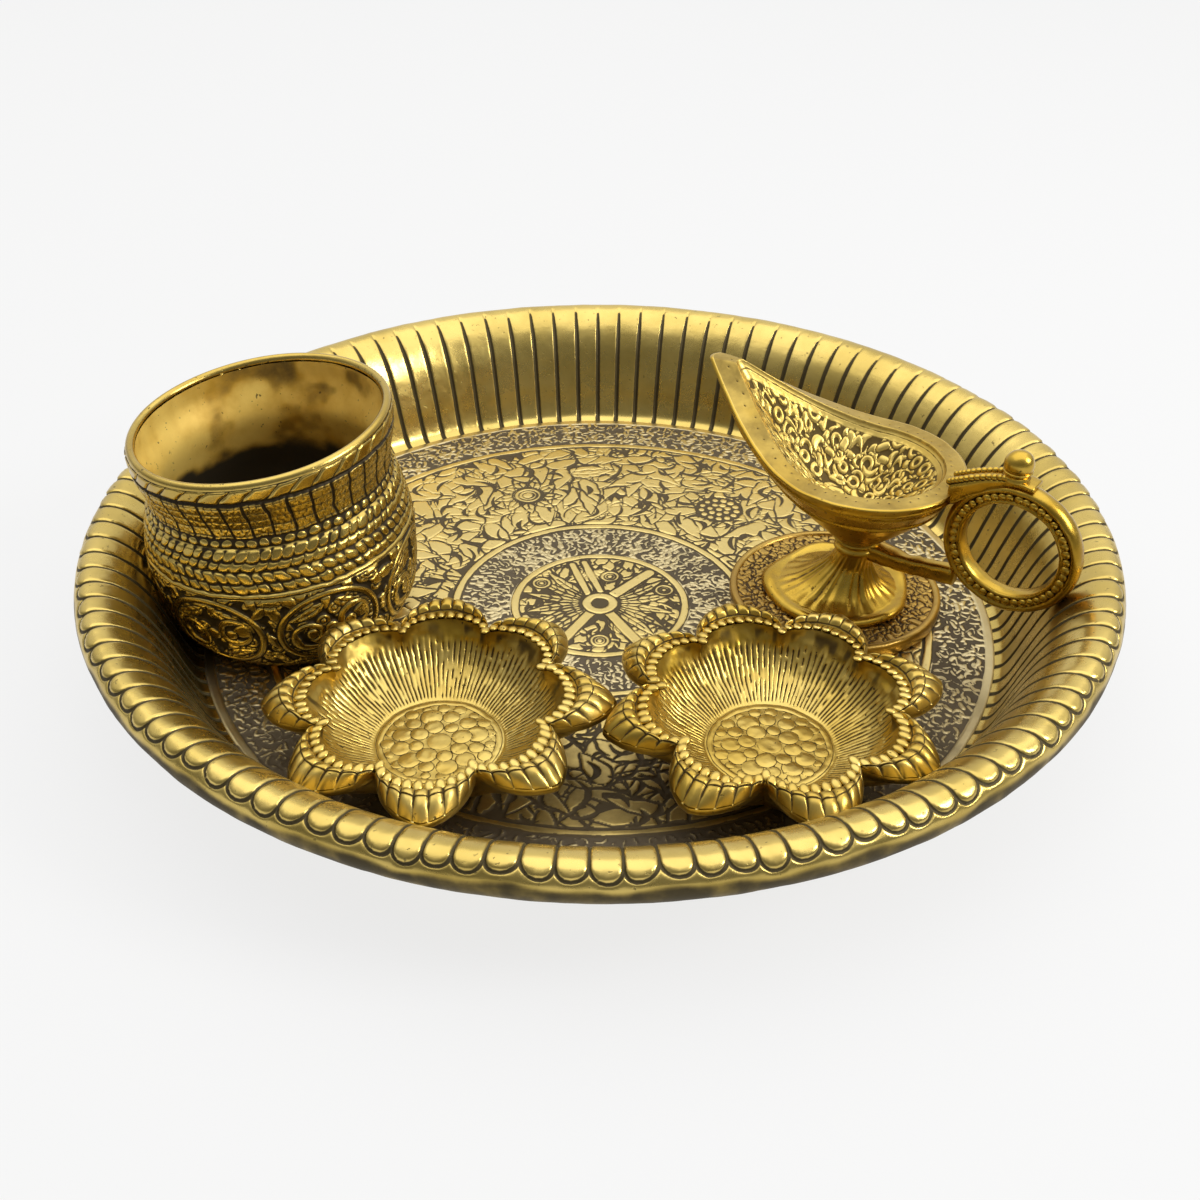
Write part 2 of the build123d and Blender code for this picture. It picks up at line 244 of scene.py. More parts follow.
class Chasing:
    """Ornament drawn shape over shape on a sheet of flat points.

    gap is the distance to the nearest outline: above 0 on a shape, below 0 on the ground."""

    open_ground, cleared_ground = -3.0, -0.7
    margin = 1.5
    leaf_fullness, leaf_taper, tooth_depth = 2.05, 0.85, 0.16
    vein_spacing, vein_slant, vein_slope = 3.2, 0.9, 0.6
    middle_vein_gap, side_vein_gap = 0.06, 0.14

    def __init__(self, x, y):
        self.x, self.y = np.broadcast_arrays(x, y)
        self.gap = np.full(self.x.shape, self.open_ground)

    def near(self, px, py, reach):
        return np.nonzero((self.x - px) ** 2 + (self.y - py) ** 2 < reach * reach)

    def turned(self, near, px, py, heading):
        """Places along and across a heading, from a start point."""
        dx, dy = self.x[near] - px, self.y[near] - py
        return dx * cos(heading) + dy * sin(heading), dy * cos(heading) - dx * sin(heading)

    def draw(self, near, depth, rib=no_line):
        """Lays one shape over what is there; depth is above 0 inside it, rib is the way to its veins."""
        old = self.gap[near]
        beside = np.where(old > 0, np.minimum(old, np.maximum(-depth, 0)), np.maximum(old, depth))
        self.gap[near] = np.where(depth > 0, np.minimum(depth, rib), beside)

    def clear(self, px, py, radius):
        self.gap[self.near(px, py, radius)] = self.cleared_ground

    def veins(self, along, across, t):
        """Distance to a leaf's middle vein and slanting side veins, which fade before its point."""
        place = (along - np.abs(across) * self.vein_slant) % self.vein_spacing
        side_vein = self.side_vein_gap + self.vein_slope * np.abs(place - self.vein_spacing / 2)
        return np.minimum(self.middle_vein_gap + np.abs(across), side_vein) + 3 * ease(t, 0.7, 0.9)

    def leaf(self, px, py, heading, length, half, curl, teeth, veined=False):
        """A pointed leaf with saw edges that curls to one side."""
        near = self.near(px, py, length * (1.15 + abs(curl)))
        along, across = self.turned(near, px, py, heading)
        across = across - curl * length * (along / length) ** 2
        t = np.clip(along / length, 0, 1)
        tooth = np.abs((t * teeth) % 1 - 0.5) * 2 - 0.5
        width = half * self.leaf_fullness * np.sqrt(t) * (1 - t) ** self.leaf_taper
        width = width * (1 + self.tooth_depth * tooth)
        beyond = np.maximum(np.maximum(-along, along - length), 0)
        rib = self.veins(along, across, t) if veined else no_line
        self.draw(near, width - np.abs(across) - beyond * 1.5, rib)

    def disc(self, px, py, radius):
        near = self.near(px, py, radius + self.margin)
        self.draw(near, radius - np.hypot(self.x[near] - px, self.y[near] - py))

    def ring(self, px, py, radius, half):
        near = self.near(px, py, radius + half + self.margin)
        self.draw(near, half - np.abs(np.hypot(self.x[near] - px, self.y[near] - py) - radius))

    def bent(self, px, py, heading, length, spare, bend):
        """Points near a bent mark: their numbers, place along it and distance from its middle line."""
        near = self.near(px, py, length * (0.55 + abs(bend)) + spare)
        along, across = self.turned(near, px, py, heading)
        across = across - bend * (4 * (along / length) ** 2 - 0.5) * length
        beyond = np.maximum(np.abs(along) - length / 2, 0)
        return near, along, np.hypot(across, beyond)

    def cut(self, px, py, heading, length, half, bend):
        """A tapering dark graver's cut across whatever is there."""
        near, along, away = self.bent(px, py, heading, length, 1, bend)
        taper = half * (1 - np.clip(2 * np.abs(along) / length, 0, 1) ** 2)
        self.gap[near] = np.minimum(self.gap[near], away - taper)

    def stroke(self, px, py, heading, length, half, bend):
        """A short round-ended stroke, bent to one side."""
        near, _, away = self.bent(px, py, heading, length, half + 1, bend)
        self.draw(near, half - away)


# Loose spots lie in staggered rows, and each strays by a share of the spacing
row_share = 0.9
ring_stray, box_stray = 0.4, 0.42


def loose_ring(inner, outer, spacing, chance):
    """Places loosely spread over a flat ring, about a spacing apart."""
    spots = []
    for number, radius in enumerate(np.arange(inner + spacing / 2, outer, spacing * row_share)):
        count = max(int(turn * radius / spacing), 1)
        angle = (np.arange(count) + 0.5 * (number % 2)) * turn / count
        angle = angle + chance.uniform(-ring_stray, ring_stray, count) * spacing / radius
        reach = radius + chance.uniform(-ring_stray, ring_stray, count) * spacing
        spots.append(np.stack([reach * np.cos(angle), reach * np.sin(angle)], axis=-1))
    return np.concatenate(spots)


def loose_box(wide, tall, spacing, chance):
    """Places loosely spread over a box, about a spacing apart."""
    x, y = np.meshgrid(np.arange(*wide, spacing), np.arange(*tall, spacing * row_share))
    x = x + spacing / 2 * (np.arange(len(x)) % 2)[:, None]
    spots = np.stack([x, y], axis=-1).reshape(-1, 2)
    return spots + chance.uniform(-box_stray, box_stray, spots.shape) * spacing


# Finishes
def new_group(name, inputs, outputs):
    group = bpy.data.node_groups.new(name, "ShaderNodeTree")
    for label, kind in inputs:
        group.interface.new_socket(label, in_out="INPUT", socket_type=kind)
    for label, kind in outputs:
        group.interface.new_socket(label, in_out="OUTPUT", socket_type=kind)
    return group, group.nodes.new("NodeGroupInput"), group.nodes.new("NodeGroupOutput")


def feed(tree, sockets, sources):
    """Sets each socket to its plain number, or links what changes over the surface to it."""
    for socket, source in zip(sockets, sources):
        if isinstance(source, (int, float)):
            socket.default_value = source
        else:
            tree.links.new(source, socket)


def value_step(tree, operation, first, second, clamp=False):
    node = tree.nodes.new("ShaderNodeMath")
    node.operation = operation
    node.use_clamp = clamp
    feed(tree, node.inputs, (first, second))
    return node.outputs[0]


def soft_range(tree, source, low, high, to_low=0.0, to_high=1.0):
    node = tree.nodes.new("ShaderNodeMapRange")
    node.interpolation_type = "SMOOTHSTEP"
    feed(tree, node.inputs, (source, low, high, to_low, to_high))
    return node.outputs[0]


def grain(tree, place, scale, detail, rough):
    node = tree.nodes.new("ShaderNodeTexNoise")
    node.inputs["Scale"].default_value = scale
    node.inputs["Detail"].default_value = detail
    node.inputs["Roughness"].default_value = rough
    tree.links.new(place, node.inputs["Vector"])
    return node.outputs[0]


def blend_colours(tree, share, first, second):
    node = tree.nodes.new("ShaderNodeMix")
    node.data_type = "RGBA"
    tree.links.new(share, node.inputs[0])
    tree.links.new(first, node.inputs[6])
    tree.links.new(second, node.inputs[7])
    return node.outputs[2]


# Marks of age and painted shade: noise scales per metre, and the ranges of noise and of the tarnish-and-shade
# mark over which they come in
cloud_scale, blotch_scale, fine_scale, speck_scale = 38, 130, 480, 760
cloud_range, speck_range, speck_patch_range = (0.36, 0.66), (0.66, 0.72), (0.42, 0.6)
tarnish_and_shade_patch_range, dull_range = (0.0, 0.25), (0.12, 0.8)
line_raggedness, tarnish_and_shade_patchiness = 0.3, 0.6
line_core_share, line_fade_share = 0.55, 1.45
amber_by_tarnish_and_shade = 1.5
blotch_roughness, dark_roughness, dark_metal_loss = 0.16, 0.3, 0.3
blotch_height, fine_height, dark_depth = 0.7, 0.3, 0.5
skin_strength, skin_depth = 0.3, 0.0004
dull_metallic = 0.3


def aged_metal_group():
    """Old cast metal: cloudy colour, dark chased lines, tarnish and painted shade, pits and a fine uneven
    skin.
    """
    tree, given, out = new_group(
        "aged_metal",
        [("Bright", "NodeSocketColor"), ("Deep", "NodeSocketColor"), ("Tarnish", "NodeSocketColor"),
         ("Line", "NodeSocketFloat"), ("Line Width", "NodeSocketFloat"), ("Tarnish_And_Painted_Shade", "NodeSocketFloat"),
         ("Cloud", "NodeSocketFloat"), ("Pits", "NodeSocketFloat"), ("Polish", "NodeSocketFloat")],
        [("Color", "NodeSocketColor"), ("Roughness", "NodeSocketFloat"),
         ("Metallic", "NodeSocketFloat"), ("Height", "NodeSocketFloat")],
    )
    line, line_width, tarnish_and_painted_shade, cloud, pits, polish = (
        given.outputs[name] for name in ("Line", "Line Width", "Tarnish_And_Painted_Shade", "Cloud", "Pits", "Polish"))

    def plus(first, second, clamp=False):
        return value_step(tree, "ADD", first, second, clamp)

    def minus(first, second):
        return value_step(tree, "SUBTRACT", first, second)

    def times(first, second):
        return value_step(tree, "MULTIPLY", first, second)

    def more(first, second):
        return value_step(tree, "MAXIMUM", first, second)

    place = tree.nodes.new("ShaderNodeTexCoord").outputs["Object"]
    clouds = soft_range(tree, grain(tree, place, cloud_scale, 5, 0.62), *cloud_range)
    blotch = grain(tree, place, blotch_scale, 4, 0.6)
    fine = grain(tree, place, fine_scale, 3, 0.6)
    specks = soft_range(tree, grain(tree, place, speck_scale, 2, 0.5), *speck_range)
    specks = times(times(specks, soft_range(tree, blotch, *speck_patch_range)), pits)
    distance = plus(line, times(minus(fine, 0.5), line_raggedness))
    core, fade = times(line_width, line_core_share), times(line_width, line_fade_share)
    lines = soft_range(tree, distance, core, fade, 1.0, 0.0)
    patchy = times(minus(blotch, 0.5), tarnish_and_shade_patchiness)
    patchy = times(patchy, soft_range(tree, tarnish_and_painted_shade, *tarnish_and_shade_patch_range))
    dull = soft_range(tree, plus(patchy, tarnish_and_painted_shade), *dull_range)
    dark = more(more(lines, dull), specks)
    share = plus(times(clouds, cloud), times(tarnish_and_painted_shade, amber_by_tarnish_and_shade), clamp=True)
    colour = blend_colours(tree, share, given.outputs["Bright"], given.outputs["Deep"])
    colour = blend_colours(tree, dark, colour, given.outputs["Tarnish"])
    rough = plus(polish, times(blotch, blotch_roughness))
    rough = plus(rough, times(dark, dark_roughness), clamp=True)
    metallic = minus(1.0, times(dark, dark_metal_loss))
    skin = plus(times(blotch, blotch_height), times(fine, fine_height))
    skin = minus(skin, times(dark, dark_depth))
    for label, result in (("Color", colour), ("Roughness", rough), ("Metallic", metallic), ("Height", skin)):
        tree.links.new(result, out.inputs[label])
    return tree


aged_metal = aged_metal_group()


def metal_finish(name, bright, deep, tarnish, line_width=0.2, cloud=0.6, pits=0.7, polish=0.2, dull=False):
    """One metal of the set, from its bright, deep and tarnished colours and the marks of its age; the
    tarnished colour also paints shade where the mesh marks it.
    """
    finish = bpy.data.materials.new(name)
    finish.use_nodes = True
    tree = finish.node_tree
    shader = tree.nodes["Principled BSDF"]
    aged = tree.nodes.new("ShaderNodeGroup")
    aged.node_tree = aged_metal
    for socket, colour in (("Bright", bright), ("Deep", deep), ("Tarnish", tarnish)):
        aged.inputs[socket].default_value = (*colour, 1)
    for socket, value in (("Line Width", line_width), ("Cloud", cloud), ("Pits", pits), ("Polish", polish)):
        aged.inputs[socket].default_value = value
    for socket, mark in (("Line", "line"), ("Tarnish_And_Painted_Shade", "tarnish_and_painted_shade")):
        source = tree.nodes.new("ShaderNodeAttribute")
        source.attribute_name = mark
        tree.links.new(source.outputs["Fac"], aged.inputs[socket])
    bump = tree.nodes.new("ShaderNodeBump")
    bump.inputs["Strength"].default_value = skin_strength
    bump.inputs["Distance"].default_value = skin_depth
    tree.links.new(aged.outputs["Height"], bump.inputs["Height"])
    tree.links.new(aged.outputs["Color"], shader.inputs["Base Color"])
    tree.links.new(aged.outputs["Roughness"], shader.inputs["Roughness"])
    if dull:
        shader.inputs["Metallic"].default_value = dull_metallic
    else:
        tree.links.new(aged.outputs["Metallic"], shader.inputs["Metallic"])
    tree.links.new(bump.outputs["Normal"], shader.inputs["Normal"])
    return finish


plate_metal = metal_finish(
    "pale_plate_brass", (0.67, 0.5, 0.15), (0.45, 0.32, 0.075), (0.07, 0.052, 0.02), line_width=0.3, pits=0.6)
floor_metal = metal_finish(
    "chased_floor_brass", (0.72, 0.56, 0.22), (0.58, 0.43, 0.14), (0.1, 0.073, 0.037),
    line_width=0.3, cloud=0.5, pits=0.5, polish=0.27)
band_metal = metal_finish(
    "dark_band_brass", (0.58, 0.48, 0.27), (0.43, 0.345, 0.17), (0.12, 0.092, 0.056),
    line_width=0.12, cloud=0.5, pits=0.3, polish=0.27)
pot_metal = metal_finish(
    "pot_brass", (0.56, 0.41, 0.11), (0.38, 0.245, 0.045), (0.04, 0.027, 0.011), pits=0.8, polish=0.17)
# The inside is a lighter, duller copy of the pot's brass: its extra brightness is painted light for the lit
# inner wall
pot_inner_painted_light_metal = metal_finish(
    "pot_inner_brass_painted_light", (0.9, 0.64, 0.15), (0.62, 0.36, 0.04), (0.03, 0.021, 0.008),
    cloud=0.8, pits=0.8, polish=0.4, dull=True)
cup_metal = metal_finish(
    "cup_gold_brass", (0.66, 0.495, 0.15), (0.41, 0.255, 0.028), (0.06, 0.036, 0.006), pits=1.0, polish=0.24)
lamp_metal = metal_finish(
    "lamp_gold_brass", (0.54, 0.355, 0.055), (0.37, 0.21, 0.018), (0.05, 0.029, 0.006), pits=0.8, polish=0.2)
# The rim and hollow are a lighter copy of the lamp's brass: painted light for the lit inside of the bowl
hollow_painted_light_metal = metal_finish(
    "lamp_hollow_brass_painted_light", (0.7, 0.52, 0.15), (0.52, 0.345, 0.065), (0.11, 0.072, 0.018), pits=0.5, polish=0.3)
disc_metal = metal_finish(
    "amber_disc_bronze", (0.44, 0.285, 0.07), (0.31, 0.175, 0.035), (0.07, 0.038, 0.012),
    line_width=0.22, pits=0.5, polish=0.24)

# Plate: a flat floor, a wall that opens into a broad rounded shoulder, and a rolled edge
plate_high = node_box("thali_plate")[1]
plate_radius, rim_top = plate_high[0], plate_high[2]
floor_radius, floor_top = 111.6, 1.6
underside_radius = floor_radius - 0.6
roll_radius = 5.2
roll_middle = np.array([plate_radius - roll_radius, rim_top - roll_radius])
# Angles on the rolled edge, which is 90 on top, 0 outside and below 0 underneath
roll_start, tongue_full, tongue_end, edge_side, edge_end, roll_finish = 90, 60, 36, 25, -50, -140
# The wall's inside and outside: (height, reach) stations
wall_inside = [
    (floor_top, floor_radius), (2.2, 113.2), (4.2, 114.5), (14.5, 118.3), (23.5, 121.9),
    (28.3, 124.8), (32.4, 128.6), (34.6, 132.0), (rim_top, roll_middle[0])]
wall_outside = [(0, 112.2), (3, 115.5), (14, 124.2), (26.8, 130.8)]
# The section is softened: its step, and how many steps to each side are averaged
section_step, section_blend, section_spread = 0.1, 36, 11


def plate_section():
    """The section from the floor's edge, up the wall, over the rolled edge and back under."""
    heights = np.linspace(floor_top, rim_top, 400)
    wall = np.stack([curve_through(wall_inside, heights), heights], axis=1)
    angle = np.radians(np.linspace(roll_start, roll_finish, 300))[1:]
    roll = roll_middle + roll_radius * np.stack([np.cos(angle), np.sin(angle)], axis=1)
    heights = np.linspace(wall_outside[-1][0], 0, 200)[1:]
    outside = np.stack([curve_through(wall_outside, heights), heights], axis=1)
    path = np.concatenate([wall, roll, outside, [[underside_radius, 0.0]]])
    length = run_length(path)
    even = np.arange(0, length[-1], section_step)
    path = np.stack([np.interp(even, length, values) for values in path.T], axis=1)
    before = 2 * path[0] - path[section_blend:0:-1]
    after = 2 * path[-1] - path[-2:-section_blend - 2:-1]
    padded = np.concatenate([before, path, after])
    weight = soft_weights(section_blend, section_spread)
    path = np.stack([np.convolve(values, weight, "valid") for values in padded.T], axis=1)
    along = np.gradient(path, axis=0)
    along /= np.hypot(*along.T)[:, None]
    return even, path, np.stack([-along[:, 1], along[:, 0]], axis=1)


section_length, section_path, section_facing = plate_section()
# The part of the softened section that still follows the roll
from_roll = section_path - roll_middle
on_roll = (np.abs(np.hypot(*from_roll.T) - roll_radius) < 0.6) & (from_roll[:, 0] > -2)
roll_angles = np.degrees(np.arctan2(from_roll[on_roll, 1], from_roll[on_roll, 0]))
roll_lengths = section_length[on_roll]


def section_at(angle):
    """How far along the section the rolled edge reaches an angle: 90 on top, 0 outside."""
    order = np.argsort(roll_angles)
    return np.interp(angle, roll_angles[order], roll_lengths[order])


crest = section_at(roll_start)


def section_rows(values, rows):
    """The two columns of a section's values at lengths along it, ready to spread round the plate."""
    return (np.interp(rows, section_length, values[:, k])[:, None] for k in range(2))


# Flutes: their number, how much closer they are toward the front and how unevenly they were cut
flute_count = 115
front_crowding, hand_stray = 12, 1.9
# Columns of points across one flute, closer together beside its grooves
flute_places = np.array([0, 0.025, 0.06, 0.11, 0.19, 0.32, 0.5, 0.68, 0.81, 0.89, 0.94, 0.975])
flute_lift, tongue_lift = 0.15, 0.2
groove_depth, tongue_groove_depth, groove_half = 0.24, 0.12, 0.4
wall_line_widening, tongue_line_widening = 0.5, 0.16
# Share of painted shade on the rolled edge past the tongues and under it toward the front
edge_painted_shade = 0.7
# Where flutes turn into tongues, on a scale from -1 at the back of the plate to 1 at its front
tongue_bearings = (-0.72, -0.3)
# A small casting pit in the front right of the rolled edge
pit_spot = np.array([100.1, -92.1, 33.5])
pit_half, pit_depth, pit_soot = 1.3, 0.7, 1.2


def flute_columns():
    """Angles across all the hand-cut flutes, closer together beside each groove."""
    fine = np.linspace(0, turn, 20001)
    chance = np.random.default_rng(5)
    density = flute_count - front_crowding * np.sin(fine)
    for wave in range(5, 30):
        density = density + chance.normal(0, hand_stray) * np.sin(wave * fine + chance.uniform(0, turn))
    counted = np.concatenate([[0], np.cumsum((density[1:] + density[:-1]) / 2 * np.diff(fine) / turn)])
    counted *= flute_count / counted[-1]
    number = (np.arange(flute_count)[:, None] + flute_places).reshape(-1)
    angle = np.interp(number, counted, fine)
    pitch = np.interp(number, counted[:-1], np.diff(fine) / np.diff(counted))
    return angle, number % 1 - 0.5, pitch


def chased_rows(rows):
    """Points, line distance and tarnish with painted shade of the fluted wall and edge at lengths along the
    section.

    Toward the front the flutes end in round tongues, past which the rolled edge takes patchy painted shade;
    toward the back they run out at the crest."""
    angle, place, pitch = flute_columns()
    r, z = section_rows(section_path, rows)
    out_r, out_z = section_rows(section_facing, rows)
    length = rows[:, None]
    width = pitch * np.minimum(r, plate_radius - 2)
    tongues = ease(-np.sin(angle), *tongue_bearings)
    end = crest + (section_at(tongue_end) - crest) * tongues
    end = end + 0.5 * np.sin(angle * 23) + 0.35 * np.sin(angle * 57 + 1)
    past = np.maximum(length - (end - width / 2), 0) * tongues
    inside = width / 2 - np.hypot(place * width, past)
    kept = 1 - (1 - tongues) * ease(length, end - 4, end)
    rounded = ease(length, crest - 3, section_at(tongue_full)) * tongues
    lift = (flute_lift + tongue_lift * rounded) * ease(inside, 0, 0.8 + 0.2 * rounded)
    groove = (groove_depth + tongue_groove_depth * rounded) * ridge(inside, 0, groove_half)
    spread = ring_points(angle, r, z)
    wobble = 0.1 * lumps(spread, 7, 3) + 0.04 * lumps(spread, 2.2, 4)
    hollow = ridge(np.linalg.norm(spread - pit_spot, axis=-1), 0, pit_half)
    lift = (lift - groove) * kept + wobble - pit_depth * hollow
    spread += lift[..., None] * ring_points(angle, out_r, out_z)
    widening = wall_line_widening * (1 - ease(length, crest - 14, crest - 1))
    outline = np.where((inside < 0) & (past > 0), np.abs(inside), inside)
    line = outline - widening - tongue_line_widening * rounded + 3 * (1 - kept)
    # Past the tongues the rolled edge takes patchy painted shade; the casting pit is darkened in its hollow
    patchy_edge_shade = edge_painted_shade + 0.16 * lumps(spread, 3, 6)
    tarnish_and_painted_shade = np.maximum(patchy_edge_shade * ease(length, end + 0.6, end + 3.0) * tongues, pit_soot * hollow)
    return spread, line, np.clip(tarnish_and_painted_shade, 0, 1)


# Rows of points along the section, closer together at the floor and on the rolled edge
floor_bend, wall_end, crest_start = 6, crest - 9, crest - 1
wall_rows = np.concatenate([
    np.linspace(0, floor_bend, 14)[:-1],
    np.linspace(floor_bend, wall_end, 38),
])
edge_rows = np.concatenate([
    np.linspace(wall_end, crest_start, 18)[:-1],
    np.linspace(crest_start, section_at(edge_side), 28)[:-1],
    np.linspace(section_at(edge_side), section_at(edge_end), 12),
])
for name, rows in (("plate_fluted_wall", wall_rows), ("plate_rolled_edge", edge_rows)):
    flutes = Casting()
    flutes.sheet(*chased_rows(rows), flip=True)
    flutes.make(name, "thali", "thali_plate", "plate_brass", plate_metal)


def plate_underside():
    """The plain outside, with painted shade under the rolled edge toward the front, and the flat underside.
    """
    angle = round_steps(480)
    rows = np.linspace(section_at(edge_end), section_length[-1], 44)
    under = Casting()
    to_front = ease(-np.sin(angle), -0.3, 0.3)
    under_edge = ease(-rows, -rows[18], -rows[6])[:, None]
    outside = ring_points(angle, *section_rows(section_path, rows))
    # Painted shade under the rolled edge toward the front
    under.sheet(outside, no_line, edge_painted_shade * to_front * under_edge, flip=True)
    inner = np.linspace(underside_radius, 4, 20)[:, None]
    index = under.sheet(ring_points(angle, inner, 0.0), flip=True)
    under.cap(index[-1], (0, 0, 0), flip=True)
    under.make("plate_underside", "thali", "thali_plate", "plate_brass", plate_metal)


plate_underside()

# Floor ornament: border of flecks, broad band of leaves, inner band of flecks, medallion
medallion_radius, inner_band_radius, leaf_middle_radius, leaf_band_radius = 25.8, 40.4, 69.0, 94.8
border_radius = floor_radius + 0.1
border_flecks, inner_flecks = (95.2, 108.8), (26.2, 40.0)
plain_ring = 2.5
chased_height = 0.34
fleck_ground = -0.4
# How far in front of the middle the floor takes painted shade, how much its dark lines widen there, and what
# share of that shade the raised metal takes
front_painted_shade_reach = (25, 80)
painted_shade_line_widening, raised_painted_shade_share = 0.2, 0.42
# Flowers in the band of leaves, each kind repeated round it
bead_flower = (37.8, 52.3)
eye_flower = (-23.6, 60.0)
flower_repeats = 3
flower_bead, flower_bead_rings = 1.25, ((2.9, 7), (5.6, 13))
eye_petal_count = 9
sprig_leaves, sprig_step = 4, 5.0
# Medallion: hub ring, fans of leaves to both sides, bars and scrolls
hub_inner, hub_outer, hub_ground = 2.4, 5.2, 5.6
fan_leaves, fan_start, fan_step, fan_reach = 6, -40, 16, 6
bar_middle, bar_length = 13, 17
# Bars as (bearing, half the gap of a double bar, half width), scrolls as (bearing, reach)
medallion_bars = ((108, 1.9, 1.25), (47, 0.0, 1.9), (240, 0.0, 1.7), (300, 0.0, 1.7))
medallion_scrolls = ((78, 14), (20, 20), (150, 20), (270, 18))


def floor_ring(inner, outer, rows, columns):
    """Points over a flat ring of the floor, from the outside in: x, y and radius."""
    angle = round_steps(columns)
    r = np.linspace(outer, inner, rows)[:, None]
    return np.broadcast_arrays(r * np.cos(angle), r * np.sin(angle), r)


def floor_piece(name, x, y, gap, finish, capped=False):
    """Raises the ornament of one ring of the floor and paints shade on it toward the front, more on its
    ground than on the raised metal, where its dark lines also widen.
    """
    front = ease(-y, *front_painted_shade_reach)
    gap = gap - painted_shade_line_widening * front
    height = chased_height * ease(gap, -0.2, 0.5)
    grid = np.stack([x, y, floor_top + height], axis=-1)
    grid[..., 2] += 0.035 * lumps(grid, 5, 8)
    uneven = 0.26 * lumps(grid, 5, 10) + 0.08 * lumps(grid, 1.3, 11)
    piece = Casting()
    # Painted shade toward the front, weaker on the raised metal
    painted_shade = front * np.where(gap + uneven > 0.15, raised_painted_shade_share, 1.0)
    index = piece.sheet(grid, gap + uneven, painted_shade)
    if capped:
        piece.cap(index[-1], (0, 0, floor_top), gap[-1].mean())
    piece.make(name, "thali", "thali_plate", "plate_brass", finish)


def sprig(art, chance, px, py, heading, bend):
    """A curving row of broad leaves to both sides and one at its end."""
    for number in range(sprig_leaves):
        side = 1 if number % 2 else -1
        art.leaf(px, py, heading + side * chance.uniform(0.4, 0.8), chance.uniform(13, 19) - number,
                 chance.uniform(3.1, 4.3), 0.4 * side, chance.integers(2, 4), chance.random() < 0.12)
        px, py = px + sprig_step * cos(heading), py + sprig_step * sin(heading)
        heading += bend
    art.leaf(px, py, heading, 15, 3.4, bend, 3)


def flower_of_beads(art, px, py):
    """Two rings of beads round a middle one, on cleared ground."""
    art.clear(px, py, 7.6)
    art.disc(px, py, 1.3)
    for radius, count in flower_bead_rings:
        for number in range(count):
            angle = number * turn / count + radius
            art.disc(px + radius * cos(angle), py + radius * sin(angle), flower_bead)


def flower_with_eye(art, px, py):
    """Veined petals round an eye of two rings and a dot."""
    bearing = np.arctan2(py, px)
    for number in range(eye_petal_count):
        angle = number * turn / eye_petal_count + bearing
        art.leaf(px + 3 * cos(angle), py + 3 * sin(angle), angle, 8, 2.4, 0.2, 4, True)
    art.disc(px, py, 5.0)
    art.ring(px, py, 3.7, 0.7)
    art.disc(px, py, 1.8)


def leaf_band(name, inner, outer, rows, columns):
    """Part of the broad band of curling leaves; both parts draw the same leaves."""
    x, y, r = floor_ring(inner, outer, rows, columns)
    art = Chasing(x, y)
    chance = np.random.default_rng(21)
    for px, py in loose_ring(inner_band_radius - 4, leaf_band_radius, 5.2, chance):
        art.leaf(px, py, chance.uniform(0, turn), chance.uniform(10, 16), chance.uniform(2.7, 3.8),
                 chance.uniform(-0.5, 0.5), 2)
    for px, py in loose_ring(inner_band_radius - 2, leaf_band_radius - 4, 14.5, chance):
        heading = np.arctan2(py, px) + pi / 2 * chance.choice((-1, 1)) + chance.normal(0, 0.7)
        sprig(art, chance, px, py, heading, chance.choice((-1, 1)) * chance.uniform(0.1, 0.3))
    for px, py in loose_ring(inner_band_radius, leaf_band_radius, 7.5, chance):
        art.cut(px, py, chance.uniform(0, turn), chance.uniform(4, 10), chance.uniform(0.1, 0.6),
                chance.choice((-1, 1)) * chance.uniform(0.1, 0.4))
    for number in range(flower_repeats):
        for flower, (px, py) in ((flower_of_beads, bead_flower), (flower_with_eye, eye_flower)):
            c, s = cos(number * turn / flower_repeats), sin(number * turn / flower_repeats)
            flower(art, px * c - py * s, px * s + py * c)
    outer_ring = np.minimum(r - leaf_band_radius + plain_ring, leaf_band_radius - r)
    inner_ring = np.minimum(r - inner_band_radius, inner_band_radius + plain_ring - r)
    rings = np.maximum(outer_ring, inner_ring)
    floor_piece(name, x, y, np.where(rings > -0.5, rings, art.gap), floor_metal)


def fleck_band(name, reach, flecked, points, spacing, slant, seed):
    """Dark band filled with short pale dashes, between plain rings."""
    (inner, outer), (first, last) = reach, flecked
    x, y, r = floor_ring(inner, outer, *points)
    art = Chasing(x, y)
    chance = np.random.default_rng(seed)
    for px, py in loose_ring(first + 0.5, last - 0.3, spacing, chance):
        heading = np.arctan2(py, px) + chance.normal(*slant)
        length, half = chance.uniform(1.0, 3.0), chance.uniform(0.46, 0.8)
        art.stroke(px, py, heading, length, half, chance.normal(0, 0.25))
    gap = np.where((r > first) & (r < last), art.gap, fleck_ground)
    rings = np.maximum(np.minimum(r - inner, first - r), np.minimum(r - last, outer - r))
    floor_piece(name, x, y, np.maximum(gap, rings), band_metal)


